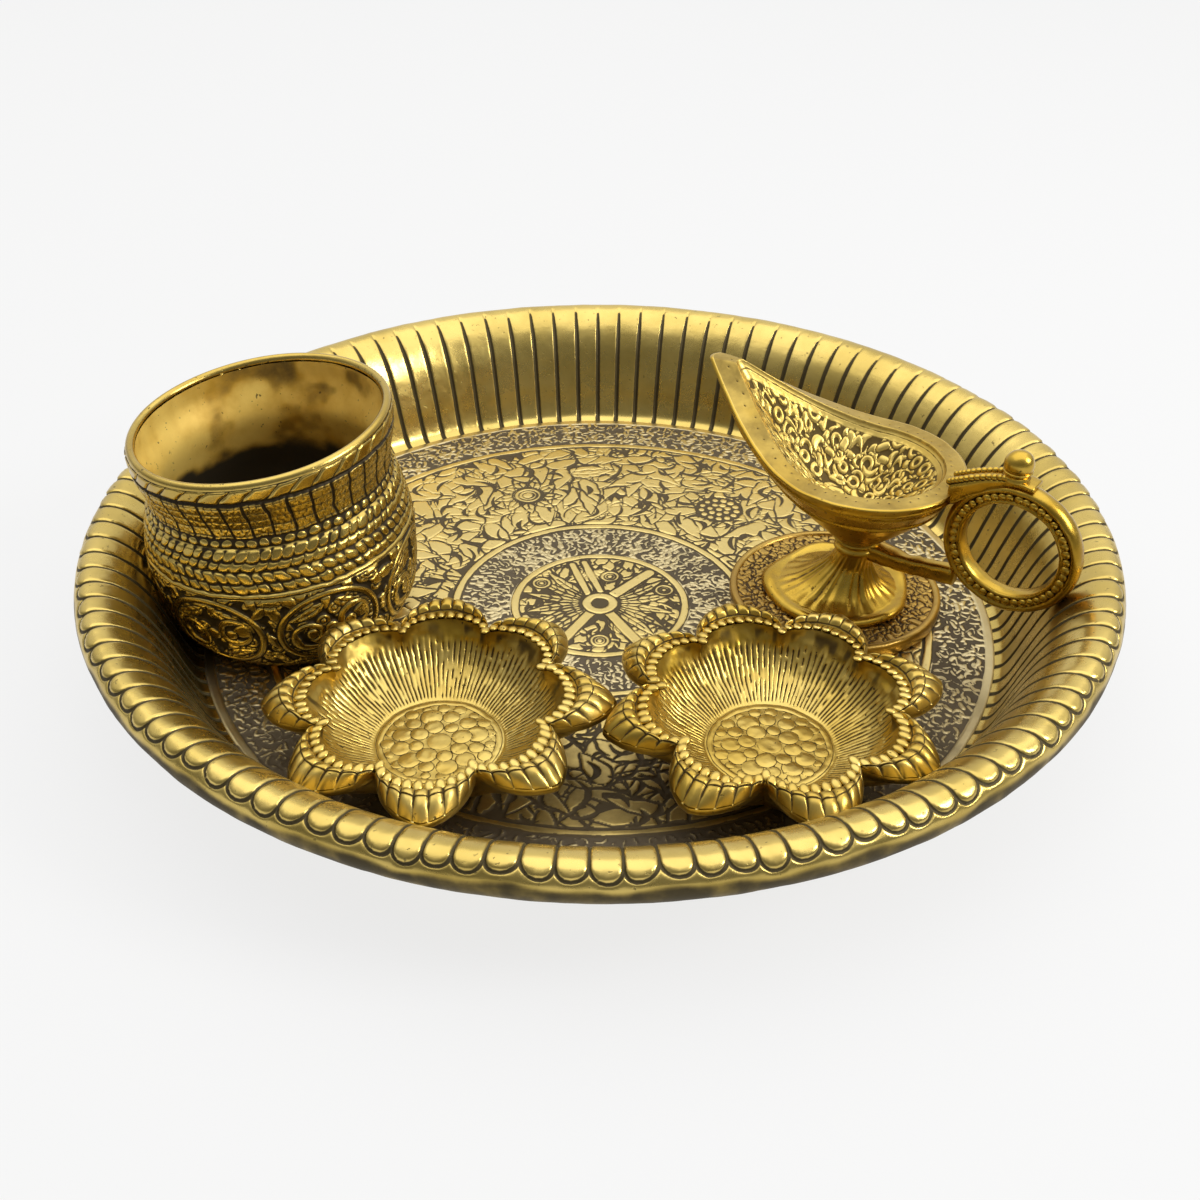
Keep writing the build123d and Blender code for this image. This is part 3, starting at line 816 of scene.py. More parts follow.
def medallion():
    """The middle: hub ring, bars, feather fans and small scrolls among leaves."""
    x, y, r = floor_ring(0.4, medallion_radius, 72, 560)
    art = Chasing(x, y)
    chance = np.random.default_rng(31)
    for px, py in loose_ring(5, 22.5, 3.8, chance):
        art.leaf(px, py, np.arctan2(py, px) + chance.normal(0, 0.6), chance.uniform(6, 9),
                 chance.uniform(1.8, 2.6), chance.normal(0, 0.3), 3)
        art.cut(px, py, chance.uniform(0, turn), chance.uniform(2, 4), chance.uniform(0.1, 0.6), 0.3)
    for side in (0, pi):
        for number in range(fan_leaves):
            angle = side + radians(fan_start + fan_step * number)
            px, py = fan_reach * cos(angle), fan_reach * sin(angle)
            art.leaf(px, py, angle, 16, 2.0, 0.22 * sin(number - 2.5), 3, True)
    for bearing, apart, half in medallion_bars:
        c, s = cos(radians(bearing)), sin(radians(bearing))
        for side in (-1, 1) if apart else (0,):
            px, py = bar_middle * c - side * apart * s, bar_middle * s + side * apart * c
            art.stroke(px, py, radians(bearing), bar_length, half, 0.0)
    for bearing, reach in medallion_scrolls:
        px, py = reach * cos(radians(bearing)), reach * sin(radians(bearing))
        art.disc(px, py, 3.0)
        art.ring(px, py, 2.3, 0.6)
        art.disc(px, py, 0.9)
    gap = np.where(r > medallion_radius - 2.8, fleck_ground, art.gap)
    gap = np.maximum(gap, np.minimum(r - medallion_radius + 2.4, medallion_radius - r))
    hub = np.maximum(np.minimum(r - hub_inner, hub_outer - r), fleck_ground)
    floor_piece("plate_medallion", x, y, np.where(r < hub_ground, hub, gap), floor_metal, capped=True)


fleck_band("plate_border_band", (leaf_band_radius, border_radius), border_flecks, points=(50, 1560),
           spacing=2.35, slant=(0.5, 0.9), seed=41)
leaf_band("plate_leaf_band_outer", leaf_middle_radius, leaf_band_radius, 74, 1300)
leaf_band("plate_leaf_band_inner", inner_band_radius, leaf_middle_radius, 74, 1100)
fleck_band("plate_inner_band", (medallion_radius, inner_band_radius), inner_flecks, points=(50, 800),
           spacing=2.15, slant=(0.0, 0.35), seed=51)
medallion()

# Pot: each level is a circle that leans to the left and tips as it rises
stand = node_box("lotus_cup_left")[0][2]
pot_x, pot_y, pot_height = -86.0, -6.3, 62.4
pot_lean_x, pot_lean_y = -3.9, 2.4
pot_lean_angle, pot_nod_angle = radians(6.3), radians(2.0)
# (height, radius) stations
pot_outline = [
    (0, 24.9), (4, 29.3), (13, 34.6), (27.5, 36.0), (38, 34.4), (47, 32.3), (57, 34.6), (pot_height, 34.9)]
pot_girth = 34.5
pot_wall, pot_floor = 2.3, 2.7
lip_half, lip_rise = 1.2, 1.4
foot_hollow = 0.5
inside_black = 0.97
# Heights at which the pot's bands begin, from the foot up
scroll_low, scroll_high, scale_low, scale_middle, grain_low, panel_low, tile_low, tile_high = (
    5.0, 29.6, 31.2, 36.9, 43.2, 45.4, 56.9, 61.0)
# Repeats round the pot in each band, and the small bricks up and across one panel
scroll_count, scale_count, grain_count, panel_count, tile_count = 7, 70, 64, 38, 37
panel_courses, panel_bricks = 5, 3
scale_squareness = 2.6
band_groove = 0.35


def pot_points(angle, height, radius):
    """The pot leans over and its level tips as it rises."""
    share = height / pot_height
    lean, nod = pot_lean_angle * share, pot_nod_angle * share
    sideways, back = radius * np.cos(angle), radius * np.sin(angle)
    x = pot_x + pot_lean_x * share + sideways * np.cos(lean)
    y = pot_y + pot_lean_y * share + back * np.cos(nod)
    z = stand + height + sideways * np.sin(lean) + back * np.sin(nod)
    return np.stack(np.broadcast_arrays(x, y, z), axis=-1)


def repeat_place(angle, count, shift=0.0):
    """Place from -0.5 to 0.5 within one of the repeats round the pot."""
    return (angle / turn * count + shift) % 1 - 0.5


def scales(angle, height, low, tall, lean, seed):
    """Distance into two staggered rows of uneven scales that lean to one side."""
    inside = np.full(angle.shape, -1.0)
    wide = turn * pot_girth / scale_count
    sizes = np.random.default_rng(seed).uniform(0.82, 1.12, (2, scale_count))
    for row in range(2):
        level = height - low - tall * (0.5 + row)
        shift = 0.5 * row + lean * level / wide
        size = sizes[row, np.floor(angle / turn * scale_count + shift).astype(int) % scale_count]
        across = np.abs(repeat_place(angle, scale_count, shift)) / 0.56
        up = np.abs(level) / (tall * 0.66)
        away = (across**scale_squareness + up**scale_squareness) ** (1 / scale_squareness)
        depth = (size - away) * tall * 0.6
        beside = np.where(inside > 0, np.minimum(inside, -depth), np.maximum(inside, depth))
        inside = np.where(depth > 0, depth, beside)
    return inside


def grain_band(angle, height):
    """A row of round grains: lift and line distance, as in the two bands after it."""
    along = repeat_place(angle, grain_count) * turn * pot_girth / grain_count
    inside = 1.5 - np.hypot(along, 1.3 * (height - (grain_low + panel_low) / 2))
    return 0.45 * np.sqrt(np.clip(inside, 0, 1)), inside


def panel_band(angle, height):
    """Slanting panels filled with small bricks."""
    wide, tall = turn * pot_girth / panel_count, tile_low - panel_low
    rise = (height - panel_low) / tall
    across = repeat_place(angle, panel_count, 0.28 * rise + 0.03 * np.sin(angle * 9))
    ends = np.minimum(height - panel_low, tile_low - height) - 0.15
    side = np.minimum((0.5 - np.abs(across)) * wide, ends)
    course = np.floor(rise * panel_courses)
    brick = np.abs((across * panel_bricks + 0.5 * course) % 1 - 0.5) * wide / panel_bricks
    cell = np.minimum(brick, np.abs((rise * panel_courses) % 1 - 0.5) * tall / panel_courses)
    return 0.5 * ease(side, 0, 0.6) - 0.2 * ridge(cell, 0, 0.3), np.minimum(side - 0.22, 0.1 + 0.8 * cell)


def tile_band(angle, height):
    """Leaning tiles under the lip, rounded at the foot."""
    rise = (height - tile_low) / (tile_high - tile_low)
    across = repeat_place(angle, tile_count, -0.5 * rise - 0.2 * rise**2)
    side = (0.5 - np.abs(across)) * turn * pot_girth / tile_count
    side = np.minimum(side, (rise - 0.05) * 4) + 0.3 * np.minimum(rise - 0.3, 0)
    return 0.42 * ease(side, 0, 0.8), side


def pot_bands(angle, height):
    """Raised ornament above the scrolls by bands: (lift, line distance)."""
    lift = np.zeros(angle.shape)
    line = np.full(angle.shape, no_line)

    def fill(low, high, band_lift, band_line):
        here = (height >= low) & (height < high)
        lift[here], line[here] = band_lift[here], band_line[here]

    tall = (scale_middle - scale_low) / 2 - 0.2
    for low, lean, seed in ((scale_low + 0.2, 0.5, 63), (scale_middle + 0.4, -0.45, 64)):
        inside = scales(angle, height, low, tall, lean, seed)
        fill(low, low + 2 * tall, 0.55 * ease(inside, -0.1, 0.7), 0.75 * inside)
    fill(grain_low, panel_low, *grain_band(angle, height))
    fill(panel_low, tile_low, *panel_band(angle, height))
    fill(tile_low, tile_high, *tile_band(angle, height))

    grooves = (
        scroll_low - 0.3, scroll_high, scale_low - 0.1, scale_middle, grain_low - 0.2, tile_low, tile_high)
    for level in grooves:
        away = np.abs(height - level)
        lift -= band_groove * ridge(away, 0, band_groove)
        line = np.minimum(line, away)
    lift += 0.55 * ridge(height, (scroll_high + scale_low) / 2, 0.6)
    return lift, line


def pot_scrolls(angle, height):
    """Scrolled medallions among leaves and rings round the lower body: distance to the outlines."""
    round_way = turn * pot_girth
    art = Chasing(angle * pot_girth, height)
    chance = np.random.default_rng(61)
    for px, py in loose_box((-6, round_way + 6), (4, 31), 3.7, chance):
        if chance.random() < 0.25:
            art.disc(px, py, 2.1)
            art.ring(px, py, 1.4, 0.55)
        else:
            art.leaf(px, py, chance.uniform(0, turn), chance.uniform(4.5, 8), chance.uniform(1.5, 2.2),
                     chance.uniform(-0.4, 0.4), 4)
    for number in range(scroll_count + 1):
        px, py = (number - 0.18) * round_way / scroll_count, 17.2
        for side in (-1, 1):
            for start, lift in ((9.0, 1), (25.5, -1)):
                heading = lift * (pi / 2 - side * 0.9)
                art.leaf(px + side * 1.5, start, heading, 10, 2.0, -0.3 * side * lift, 5, True)
            art.disc(px + side * 6.2, py + side * 1.4, 4.7)
            art.cut(px + side * 6.0, py + side * 1.9, 1.2 * side, 6.5, 0.9, -0.42 * side)
            art.cut(px + side * 7.4, py + side * 0.4, 0.6 - side, 4.5, 0.6, 0.4 * side)
            art.disc(px + side * 5.2, py + side * 0.6, 1.7)
        art.disc(px, py, 2.0)
        away = np.hypot((art.x - px) / 13.2, (art.y - py) / 10.8)
        near = np.nonzero((away > 0.75) & (away < 1.25))
        art.draw(near, 0.85 - np.abs(away[near] - 1) * 11)
    return art.gap


def pot_body(columns, levels):
    """Points, line distance and tarnish of the pot's outside at the given heights."""
    angle, height = np.meshgrid(round_steps(columns), levels)
    plain = pot_points(angle, height, curve_through(pot_outline, height))
    lift, line = pot_bands(angle + 0.013 * lumps(plain, 2.6, 21), height + 0.3 * lumps(plain, 3.0, 23))
    gap = pot_scrolls(angle, height)
    scrolled = (height > scroll_low) & (height < scroll_high - 0.4)
    lift = np.where(scrolled, 0.85 * ease(gap, -0.3, 0.6) - 0.35, lift)
    line = np.where(scrolled, gap, line)
    tarnish_and_painted_shade = np.where(scrolled, 0.16 + 0.74 * ease(-gap, -0.1, 0.5), 0.04)
    radius = curve_through(pot_outline, height) + lift
    uneven = 0.1 * lumps(pot_points(angle, height, radius), 4, 9)
    return pot_points(angle, height, radius + uneven), line, tarnish_and_painted_shade


def pot_inside():
    """The bare inside: bright and blotched with tarnish, with patchy painted shade under the back lip and on
    the right side, and black below.
    """
    levels = np.linspace(pot_height - 1.8, pot_floor + 0.6, 74)
    angle, height = np.meshgrid(round_steps(260), levels)
    radius = curve_through(pot_outline, height) - pot_wall - 0.1 * ease(height, 56, 60)
    spread = roughened(pot_points(angle, height, radius), 0.12, 5, 12)
    patch = lumps(spread, 9, 13) + 0.5 * lumps(spread, 3, 15)
    to_back = ease(np.sin(angle), 0.3, 0.9)
    to_right = ease(np.cos(angle), 0.1, 0.85)
    deep = ease(-height, -41 - 3 * patch, -31 - 3 * patch)
    # Painted shade, in patches, under the back lip and on the right side
    painted_shade_under_lip = ease(height, 46, 57) * ease(patch, -0.4, 0.5) * 0.5 * to_back
    painted_shade_on_right = 0.34 * to_right * ease(patch, -0.6, 0.5)
    blotches = 0.36 * ease(patch, 0.1, 0.9)
    tarnish_and_painted_shade = np.max([inside_black * deep, painted_shade_under_lip, painted_shade_on_right, blotches], axis=0)
    inside = Casting()
    index = inside.sheet(spread, no_line, tarnish_and_painted_shade)
    inside.cap(index[-1], spread[-1].mean(axis=0), no_line, inside_black)
    inside.make("kalash_inside", "kalash", "kalash_pot", "pot_brass", pot_inner_painted_light_metal)


def pot_lower_body():
    """The scrolled lower body and the foot."""
    lower = Casting()
    levels = np.concatenate([
        np.linspace(0, scroll_low, 14)[:-1],
        np.linspace(scroll_low, scroll_high, 84),
    ])
    lower.sheet(*pot_body(620, levels))
    foot_edge = pot_outline[0][1]
    inset = np.array([0, 1.6, 2.6, foot_edge - 3])[:, None]
    foot = pot_points(round_steps(120), 0 * inset, foot_edge - inset)
    foot[2:, :, 2] += foot_hollow
    index = lower.sheet(foot, flip=True)
    lower.cap(index[-1], foot[-1].mean(axis=0), flip=True)
    lower.make("kalash_scrolled_body", "kalash", "kalash_pot", "pot_brass", pot_metal)


def pot_upper_body():
    """The banded upper body and the rounded lip, which is a little out of round."""
    upper = Casting()
    columns = 640
    lip_level = pot_height - lip_half - 0.2
    upper.sheet(*pot_body(columns, np.linspace(scroll_high, lip_level, 108)))
    bend = np.linspace(0, pi, 17)[:, None]
    around = round_steps(columns)
    lip_radius = curve_through(pot_outline, np.array([lip_level]))[0] - lip_half + 0.05
    reach = lip_radius + lip_half * np.cos(bend) + 0.08 * np.sin(around * 5)
    upper.sheet(pot_points(around, lip_level + lip_rise * np.sin(bend), reach))
    upper.make("kalash_banded_neck", "kalash", "kalash_pot", "pot_brass", pot_metal)


pot_lower_body()
pot_upper_body()
pot_inside()

# Lotus cups: eight petals round a bowl with a beaded rim
petal_count = 8
petal_notch, petal_tip = 29.6, 41.0
petal_reach, long_petal_reach = 1.8, 3.2
rim_notch, rim_lobe = 28.0, 32.8
cup_rim, cup_floor, rosette_radius = 19.2, 4.4, 16.2
bowl_top = cup_rim - 0.3
seed_height = 0.2
petal_seat, petal_dome = 18.4, 3.0
belly_height, petal_under_rise = 9.4, 7.0
petal_edge_height, petal_edge_round = 18.0, 0.9
striation_count = 116
beads_per_petal, ribs_per_petal = 11, 9
rim_bead_shape = np.array([1.24, 1.8, 0.8])
# Rings of seeds in the flat rosette: (reach, count, radius)
seed_rings = ((12.8, 19, 1.5), (9.7, 12, 2.4), (5.8, 8, 2.2))


def petal_place(around):
    """Place from -1 to 1 across each petal and the swell of its round outline."""
    place = (around / turn * petal_count + 0.5) % 1 * 2 - 1
    return place, np.clip(1 - place**2, 0, 1)


def outward_frames(angle, tilt):
    """Axes for beads: along the rim, along the slope, and facing out of it."""
    radial = ring_points(angle, 1.0, 0.0)
    side = ring_points(angle + pi / 2, 1.0, 0.0)
    facing = radial * cos(tilt) + np.array([0, 0, sin(tilt)])
    return np.stack([side, np.cross(facing, side), facing], axis=-2)


def rim_radius(around):
    """Radius of the scalloped rim."""
    return rim_notch + (rim_lobe - rim_notch) * petal_place(around)[1] ** 0.62


def petal_sheet(around):
    """Rows from the foot, out under the petals, round their edge and in over their ribbed tops."""
    place, swell = petal_place(around)
    pointed = 1 - np.abs(place) ** 1.2
    first = np.abs((around + pi) % turn - pi) < pi / petal_count
    reach = petal_tip - petal_notch + np.where(first, long_petal_reach, petal_reach)
    edge = petal_notch + reach * (0.5 * swell**0.8 + 0.5 * pointed)
    middle, foot = 25 + 3.6 * swell, 16.5 + 0.9 * swell
    rim = rim_radius(around) + 0.9
    rows = Rows()

    def add(radius, height, line=no_line, tarnish_and_painted_shade=0.0):
        rows.add(np.stack(np.broadcast_arrays(radius, height), axis=-1), line, tarnish_and_painted_shade)

    for share in np.linspace(0, 1, 14)[:-1]:
        add(foot + (middle - foot) * share**0.8, belly_height * share, tarnish_and_painted_shade=0.25)
    for share in np.linspace(0, 1, 14):
        under = middle + (edge - middle - 0.8) * share**0.75
        add(under, belly_height + petal_under_rise * share, tarnish_and_painted_shade=0.25 * (1 - share))
    droop = 1.6 * swell
    for bend in np.radians(np.linspace(-70, 60, 7)):
        rounded = edge - petal_edge_round + petal_edge_round * cos(bend)
        add(rounded, petal_edge_height - droop + 1.3 * sin(bend))
    dome = 0.5 + (petal_dome - 0.5) * swell**0.5
    run = edge - rim
    rib = np.abs((place + 1) / 2 * ribs_per_petal % 1 - 0.5) * 2
    for share in np.linspace(0.97, 0, 44):
        height = petal_seat + dome * sin(pi * share**0.75) ** 0.75 - droop * share**2
        groove = (1 - rib) * (1.15 - 0.3 * share) + 0.04 + 0.14 * ease(share, 0.6, 0.95)
        ribbed = ease(share, 0.06, 0.2) * (1 - 0.6 * ease(share, 0.5, 0.95))
        lift = 0.85 * np.sqrt(np.clip(1 - rib**2, 0, 1)) - 0.55 + 0.3 * ease(-share, -0.48, -0.42)
        mark = np.where(ribbed > 0.3, groove, abs(share - 0.09) * run)
        mark = np.minimum(mark, abs(share - 0.45) * run + 0.06)
        add(rim + run * share, height + lift * ribbed, mark, 0.16 + 0.1 * ease(-share, -0.16, -0.04))
    add(rim - 1.6, bowl_top, 0.2, 0.3)
    return rows.stacked()


# How far in the bowl's side has come: (share of the way down, share of the way in)
bowl_slope = [(0, 0), (0.12, 0.05), (0.3, 0.16), (0.6, 0.42), (0.85, 0.77), (1, 1)]


def bowl_sheet(around):
    """Rows down the inside: smooth under the rim, then broken upright striations to the rosette."""
    rim = rim_radius(around) - 0.7
    even_rim = rim_notch + 0.55 * (rim_lobe - rim_notch)
    share = np.linspace(0, 1, 70)[:, None]
    lobed = np.clip(1 - share / 0.4, 0, 1) ** 1.5
    start = even_rim + (rim - even_rim) * lobed
    radius = start + (rosette_radius - start) * curve_through(bowl_slope, share)
    height = bowl_top - (bowl_top - cup_floor) * share**0.9
    stripes = around / turn * striation_count
    flow = np.stack(np.broadcast_arrays(stripes * 2.1, share * 11, 0.0), axis=-1)
    broken = lumps(flow, 1.0, 17)
    beside = np.abs((stripes + 0.12 * lumps(flow, 3.0, 18)) % 1 - 0.5) * 1.2
    cut = ease(share, 0.16, 0.34) * (0.4 + 0.6 * ease(broken, -0.6, -0.1)) * ease(-share, -1.0, -0.96)
    streak = ease(share, 0.0, 0.1) * ease(lumps(flow * np.array([0.5, 0.25, 1]), 1.0, 20), 0.0, 0.7)
    ripple = lumps(flow * np.array([0.35, 0.9, 1]), 1.0, 22)
    line = np.where(cut > 0.05, beside + 0.35 * (1 - cut) + 0.02, no_line)
    upper = ease(-share, -0.45, -0.15)
    tarnish_and_painted_shade = (0.34 * streak + 0.34) * upper
    sunk = 0.42 * cut * ridge(beside, 0, 0.24) + 0.22 * upper * ripple
    return np.stack(np.broadcast_arrays(radius + sunk, height), axis=-1), line, tarnish_and_painted_shade


def rosette_sheet(around):
    """Flat rosette: ring border, three rings of uneven seeds and a middle seed."""
    radius = np.linspace(rosette_radius, 0.3, 60)[:, None]
    art = Chasing(radius * np.cos(around), radius * np.sin(around))
    art.ring(0, 0, 14.9, 0.8)
    art.disc(0, 0, 3.1)
    for reach, count, seed in seed_rings:
        for number in range(count):
            angle = number * turn / count + reach
            art.disc(reach * cos(angle), reach * sin(angle), seed * (1 + 0.2 * sin(number * 2.3)))
    height = cup_floor + seed_height * np.sqrt(np.clip(art.gap, 0, 1.2) / 1.2)
    return np.stack(np.broadcast_arrays(radius, height), axis=-1), np.abs(art.gap) * 1.8, 0.05


def rim_beads(standing, turned):
    """Uneven long beads, evenly spaced along the scalloped rim."""
    fine = np.linspace(0, turn, 8001)
    track = rim_radius(fine)
    x, y = track * np.cos(fine + turned), track * np.sin(fine + turned)
    length = run_length(np.stack([x, y], axis=1))
    count = beads_per_petal * petal_count
    spots = (np.arange(count) + 0.5) * length[-1] / count
    chance = np.random.default_rng(71)
    size = 1.0 + chance.normal(0, 0.08, (count, 1))
    level = cup_rim + 0.35 + chance.normal(0, 0.12, count)
    centres = np.stack([np.interp(spots, length, x), np.interp(spots, length, y), level], axis=-1)
    frames = outward_frames(np.interp(spots, length, fine) + turned, radians(75))
    beads = Casting()
    beads.beads(standing + centres, size * rim_bead_shape, frames)
    return beads


def lotus(name, body, node, first_petal):
    """One cup: petals, bowl with its rosette, and rim beads."""
    low, high = node_box(node)
    cx, cy = (low + high)[:2] / 2
    turned = radians(first_petal)
    standing = np.array([cx, cy, stand])

    def raised(around, profile, line, tarnish_and_painted_shade):
        grid = standing + ring_points(around + turned, profile[..., 0], profile[..., 1])
        uneven = 0.13 * lumps(grid, 3.5, 14) + 0.05 * lumps(grid, 1.4, 24)
        return grid + uneven[..., None] * np.array([0.5, 0.5, 1]), line, tarnish_and_painted_shade

    petals, bowl = Casting(), Casting()
    around = round_steps(petal_count * 90)
    index = petals.sheet(*raised(around, *petal_sheet(around)))
    petals.cap(index[0], standing, flip=True)
    petals.make(name + "_petals", body, node, "cup_brass", cup_metal)
    around = round_steps(striation_count * 6)
    bowl.sheet(*raised(around, *bowl_sheet(around)))
    around = round_steps(300)
    index = bowl.sheet(*raised(around, *rosette_sheet(around)))
    bowl.cap(index[-1], standing + np.array([0, 0, cup_floor + seed_height]))
    bowl.make(name + "_bowl", body, node, "cup_brass", cup_metal)
    rim_beads(standing, turned).make(name + "_rim_beads", body, node, "cup_brass", cup_metal)


lotus("lotus_left", "left_lotus", "lotus_cup_left", 1)
lotus("lotus_right", "right_lotus", "lotus_cup_right", 13)

# Oil lamp: its own frame runs toward the handle, sideways and up from the middle of the disc
disc_low, disc_high = node_box("lamp_base_disc")
lamp_x, lamp_y = (disc_low + disc_high)[:2] / 2
disc_radius = (disc_high - disc_low)[0] / 2
lamp_heading = radians(-36)
stem_lean = 5.0
stem_foot, stem_top = 3.4, 23.4
bowl_rim, spout_rise, spout_run = 47.7, 17.0, 44.0
# The bowl's reach to the back and to the tip, and its half width, at five levels
bowl_levels = (stem_top, 30.7, 39.4, bowl_rim, 65.0)
bowl_back = list(zip(bowl_levels, (6.6, 14.5, 22.8, 27.0, 29.0)))
bowl_tip = list(zip(bowl_levels, (6.6, 18.0, 31.5, 42.5, 52.5)))
bowl_half = list(zip(bowl_levels, (6.6, 14.0, 21.8, 25.9, 28.0)))
# Reaches that space the columns of points evenly round the leaf outline
even_back, even_tip, even_half = 27, 42, 26
leaf_blend, leaf_spread = 40, 13
handle_side = 30.8
spout_lip = 1.35
hollow_bottom = 33.0
# The flat rim: its rounded edges, and one dot to so many columns
lip_round, lip_inner_round, lip_lift = 0.7, 0.5, 0.3
dot_every = 10


def lamp_place(local):
    """From the lamp's own frame to the plate's frame."""
    x, y, z = local[..., 0], local[..., 1], local[..., 2]
    c, s = cos(lamp_heading), sin(lamp_heading)
    return np.stack([lamp_x + x * c - y * s, lamp_y + x * s + y * c, stand + z], axis=-1)


def lamp_frames(frames):
    """Axes for beads, from the lamp's own frame to the plate's frame."""
    c, s = cos(lamp_heading), sin(lamp_heading)
    return np.asarray(frames) @ np.array([[c, s, 0], [-s, c, 0], [0, 0, 1]])


def leaf_round(columns):
    """Even steps round the bowl: share of the reach to the back or tip, and share of the half width."""
    back = np.linspace(-pi / 2, pi / 2, 401)
    tip = np.linspace(0, 1, 401)
    full = 1 - tip**2
    reach = np.concatenate([np.cos(back), -tip[1:], -tip[-2:0:-1]])
    wide = np.concatenate([np.sin(back), full[1:], -full[-2:0:-1]])
    weight = soft_weights(leaf_blend, leaf_spread)

    def softened(values):
        wrapped = np.concatenate([values[-leaf_blend:], values, values[:leaf_blend]])
        values = np.convolve(wrapped, weight, "valid")
        return np.append(values, values[0])

    reach, wide = softened(reach), softened(wide)
    x = np.where(reach > 0, reach * even_back, reach * even_tip)
    length = run_length(np.stack([x, wide * even_half], axis=1))
    spots = np.linspace(0, length[-1], columns, endpoint=False)
    return np.interp(spots, length, reach), np.interp(spots, length, wide), length[-1] / columns


bowl_reach, bowl_wide, bowl_step = leaf_round(560)
to_spout = ease(-bowl_reach, 0.2, 0.95)


def bowl_at(height, inset):
    """Points of the bowl's leaf outline at a height for each column."""
    back = curve_through(bowl_back, height) - inset
    tip = curve_through(bowl_tip, height) - inset * spout_lip
    half = curve_through(bowl_half, height) - inset
    x = stem_lean + np.where(bowl_reach > 0, bowl_reach * back, bowl_reach * tip)
    return np.stack(np.broadcast_arrays(np.minimum(x, handle_side), bowl_wide * half, height), axis=-1)


def bowl_rim_heights():
    """The rim's height at each column: level at the back, rising to the spout."""
    height = np.full(bowl_reach.shape, bowl_rim)
    for _ in range(30):
        along = np.clip((-1 - bowl_at(height, 0)[..., 0]) / spout_run, 0, 1)
        height = 0.5 * height + 0.5 * (bowl_rim + spout_rise * (1.387 * along**2 - 0.387 * along**3))
    return height


def bowl_outside(rows, rim):
    """Adds the plain outside with its two ledges, and the rounded outer edge of the rim."""
    for share in np.linspace(0, 1, 54):
        ledges = 0.6 * ridge(share, 0.9, 0.022) - 0.5 * ridge(share, 0.86, 0.02)
        ledges += 0.5 * ridge(share, 0.62, 0.02) - 0.45 * ridge(share, 0.655, 0.016)
        line = min(abs(share - 0.655), abs(share - 0.862)) * 25 + 0.1
        height = stem_top + (rim - lip_round - stem_top) * share
        rows.add(bowl_at(height, 0.5 - ledges), line, 0.2 * (1 - share))
    for bend in np.linspace(0, pi / 2, 8)[1:]:
        edge = bowl_at(rim, lip_round - lip_round * cos(bend))
        rows.add(edge + np.array([0, 0, lip_round * sin(bend) - lip_round]))


def bowl_flat_rim(rows, rim, rim_width):
    """Adds the flat rim with its row of punched dots, and its rounded inner edge."""
    number = np.arange(len(rim))
    along = (number % dot_every - dot_every / 2) * bowl_step
    strayed = 0.68 + 0.12 * np.sin(number // dot_every * 2.4)
    for share in np.linspace(0, 1, 24)[1:]:
        dots = np.hypot(along, (share - strayed) * rim_width)
        rise = lip_lift * share - 0.2 * ridge(dots, 0, 0.35)
        flat = bowl_at(rim, lip_round + rim_width * share)
        rows.add(flat + rise[:, None] * np.array([0, 0, 1]), dots - 0.08, 0.37)
    for bend in np.linspace(0, 1, 5)[1:]:
        edge = bowl_at(rim, lip_round + rim_width + lip_inner_round * bend)
        rows.add(edge + np.array([0, 0, lip_lift - 0.9 * bend**2]), 0.25, 0.2)


def bowl_hollow(rows, rim, rim_width):
    """Adds the hollow, embossed all over with rings and short strokes below a scored edge."""
    share = np.linspace(0, 1, 72)[1:, None]
    edge = bowl_at(rim, lip_round + lip_inner_round + rim_width)
    middle = np.array([edge[:, 0].mean() + 4, 0, hollow_bottom])
    hollow = edge + (middle - edge) * share[..., None]
    hollow[..., 2] = hollow_bottom + (rim - 0.6 - hollow_bottom) * (1 - share) ** 1.7
    art = Chasing(hollow[..., 0], hollow[..., 1])
    chance = np.random.default_rng(81)
    spots = loose_box((-46, 32), (-27, 27), 2.4, chance)
    chance.shuffle(spots)
    for number, (px, py) in enumerate(spots):
        if number % 4 == 3:
            art.clear(px, py, 2.1)
            art.ring(px, py, chance.uniform(1.0, 1.45), 0.62)
        else:
            art.stroke(px, py, chance.uniform(0, pi), chance.uniform(1.0, 3.0), chance.uniform(0.75, 1.15),
                       chance.normal(0, 0.3))
    embossed = ease(share, 0.05, 0.14)
    hollow[..., 2] += 0.6 * ease(art.gap, -0.15, 0.6) * embossed
    for points, gap, fill, down in zip(hollow, art.gap, embossed, share[:, 0]):
        scored = abs((down * 22) % 1.2 - 0.6) + 0.12
        rows.add(points, np.where(fill > 0.4, gap + 0.05, scored), 0.1 * (1 - fill))


def lamp_bowl():
    """Leaf-shaped bowl in two pieces: the outside, and the rim with the embossed hollow."""
    rows = Rows()
    rim = bowl_rim_heights()
    rim_width = 4.8 + 0.8 * to_spout
    bowl_outside(rows, rim)
    outside_rows = len(rows.points)
    bowl_flat_rim(rows, rim, rim_width)
    bowl_hollow(rows, rim, rim_width)
    points, line, tarnish_and_painted_shade = rows.stacked()
    grid = roughened(lamp_place(points), 0.09, 4, 19, (0.6, 0.6, 0.8))
    bowl, dish = Casting(), Casting()
    index = bowl.sheet(grid[:outside_rows], line[:outside_rows], tarnish_and_painted_shade[:outside_rows])
    bowl.cap(index[0], grid[0].mean(axis=0), flip=True)
    bowl.make("lamp_leaf_bowl", "lamp", "lamp_bowl", "lamp_brass", lamp_metal)
    # The rim and hollow take the lighter brass with painted light
    dish.sheet(grid[outside_rows - 1:], line[outside_rows - 1:], tarnish_and_painted_shade[outside_rows - 1:])
    dish.make("lamp_embossed_hollow", "lamp", "lamp_bowl", "lamp_brass", hollow_painted_light_metal)


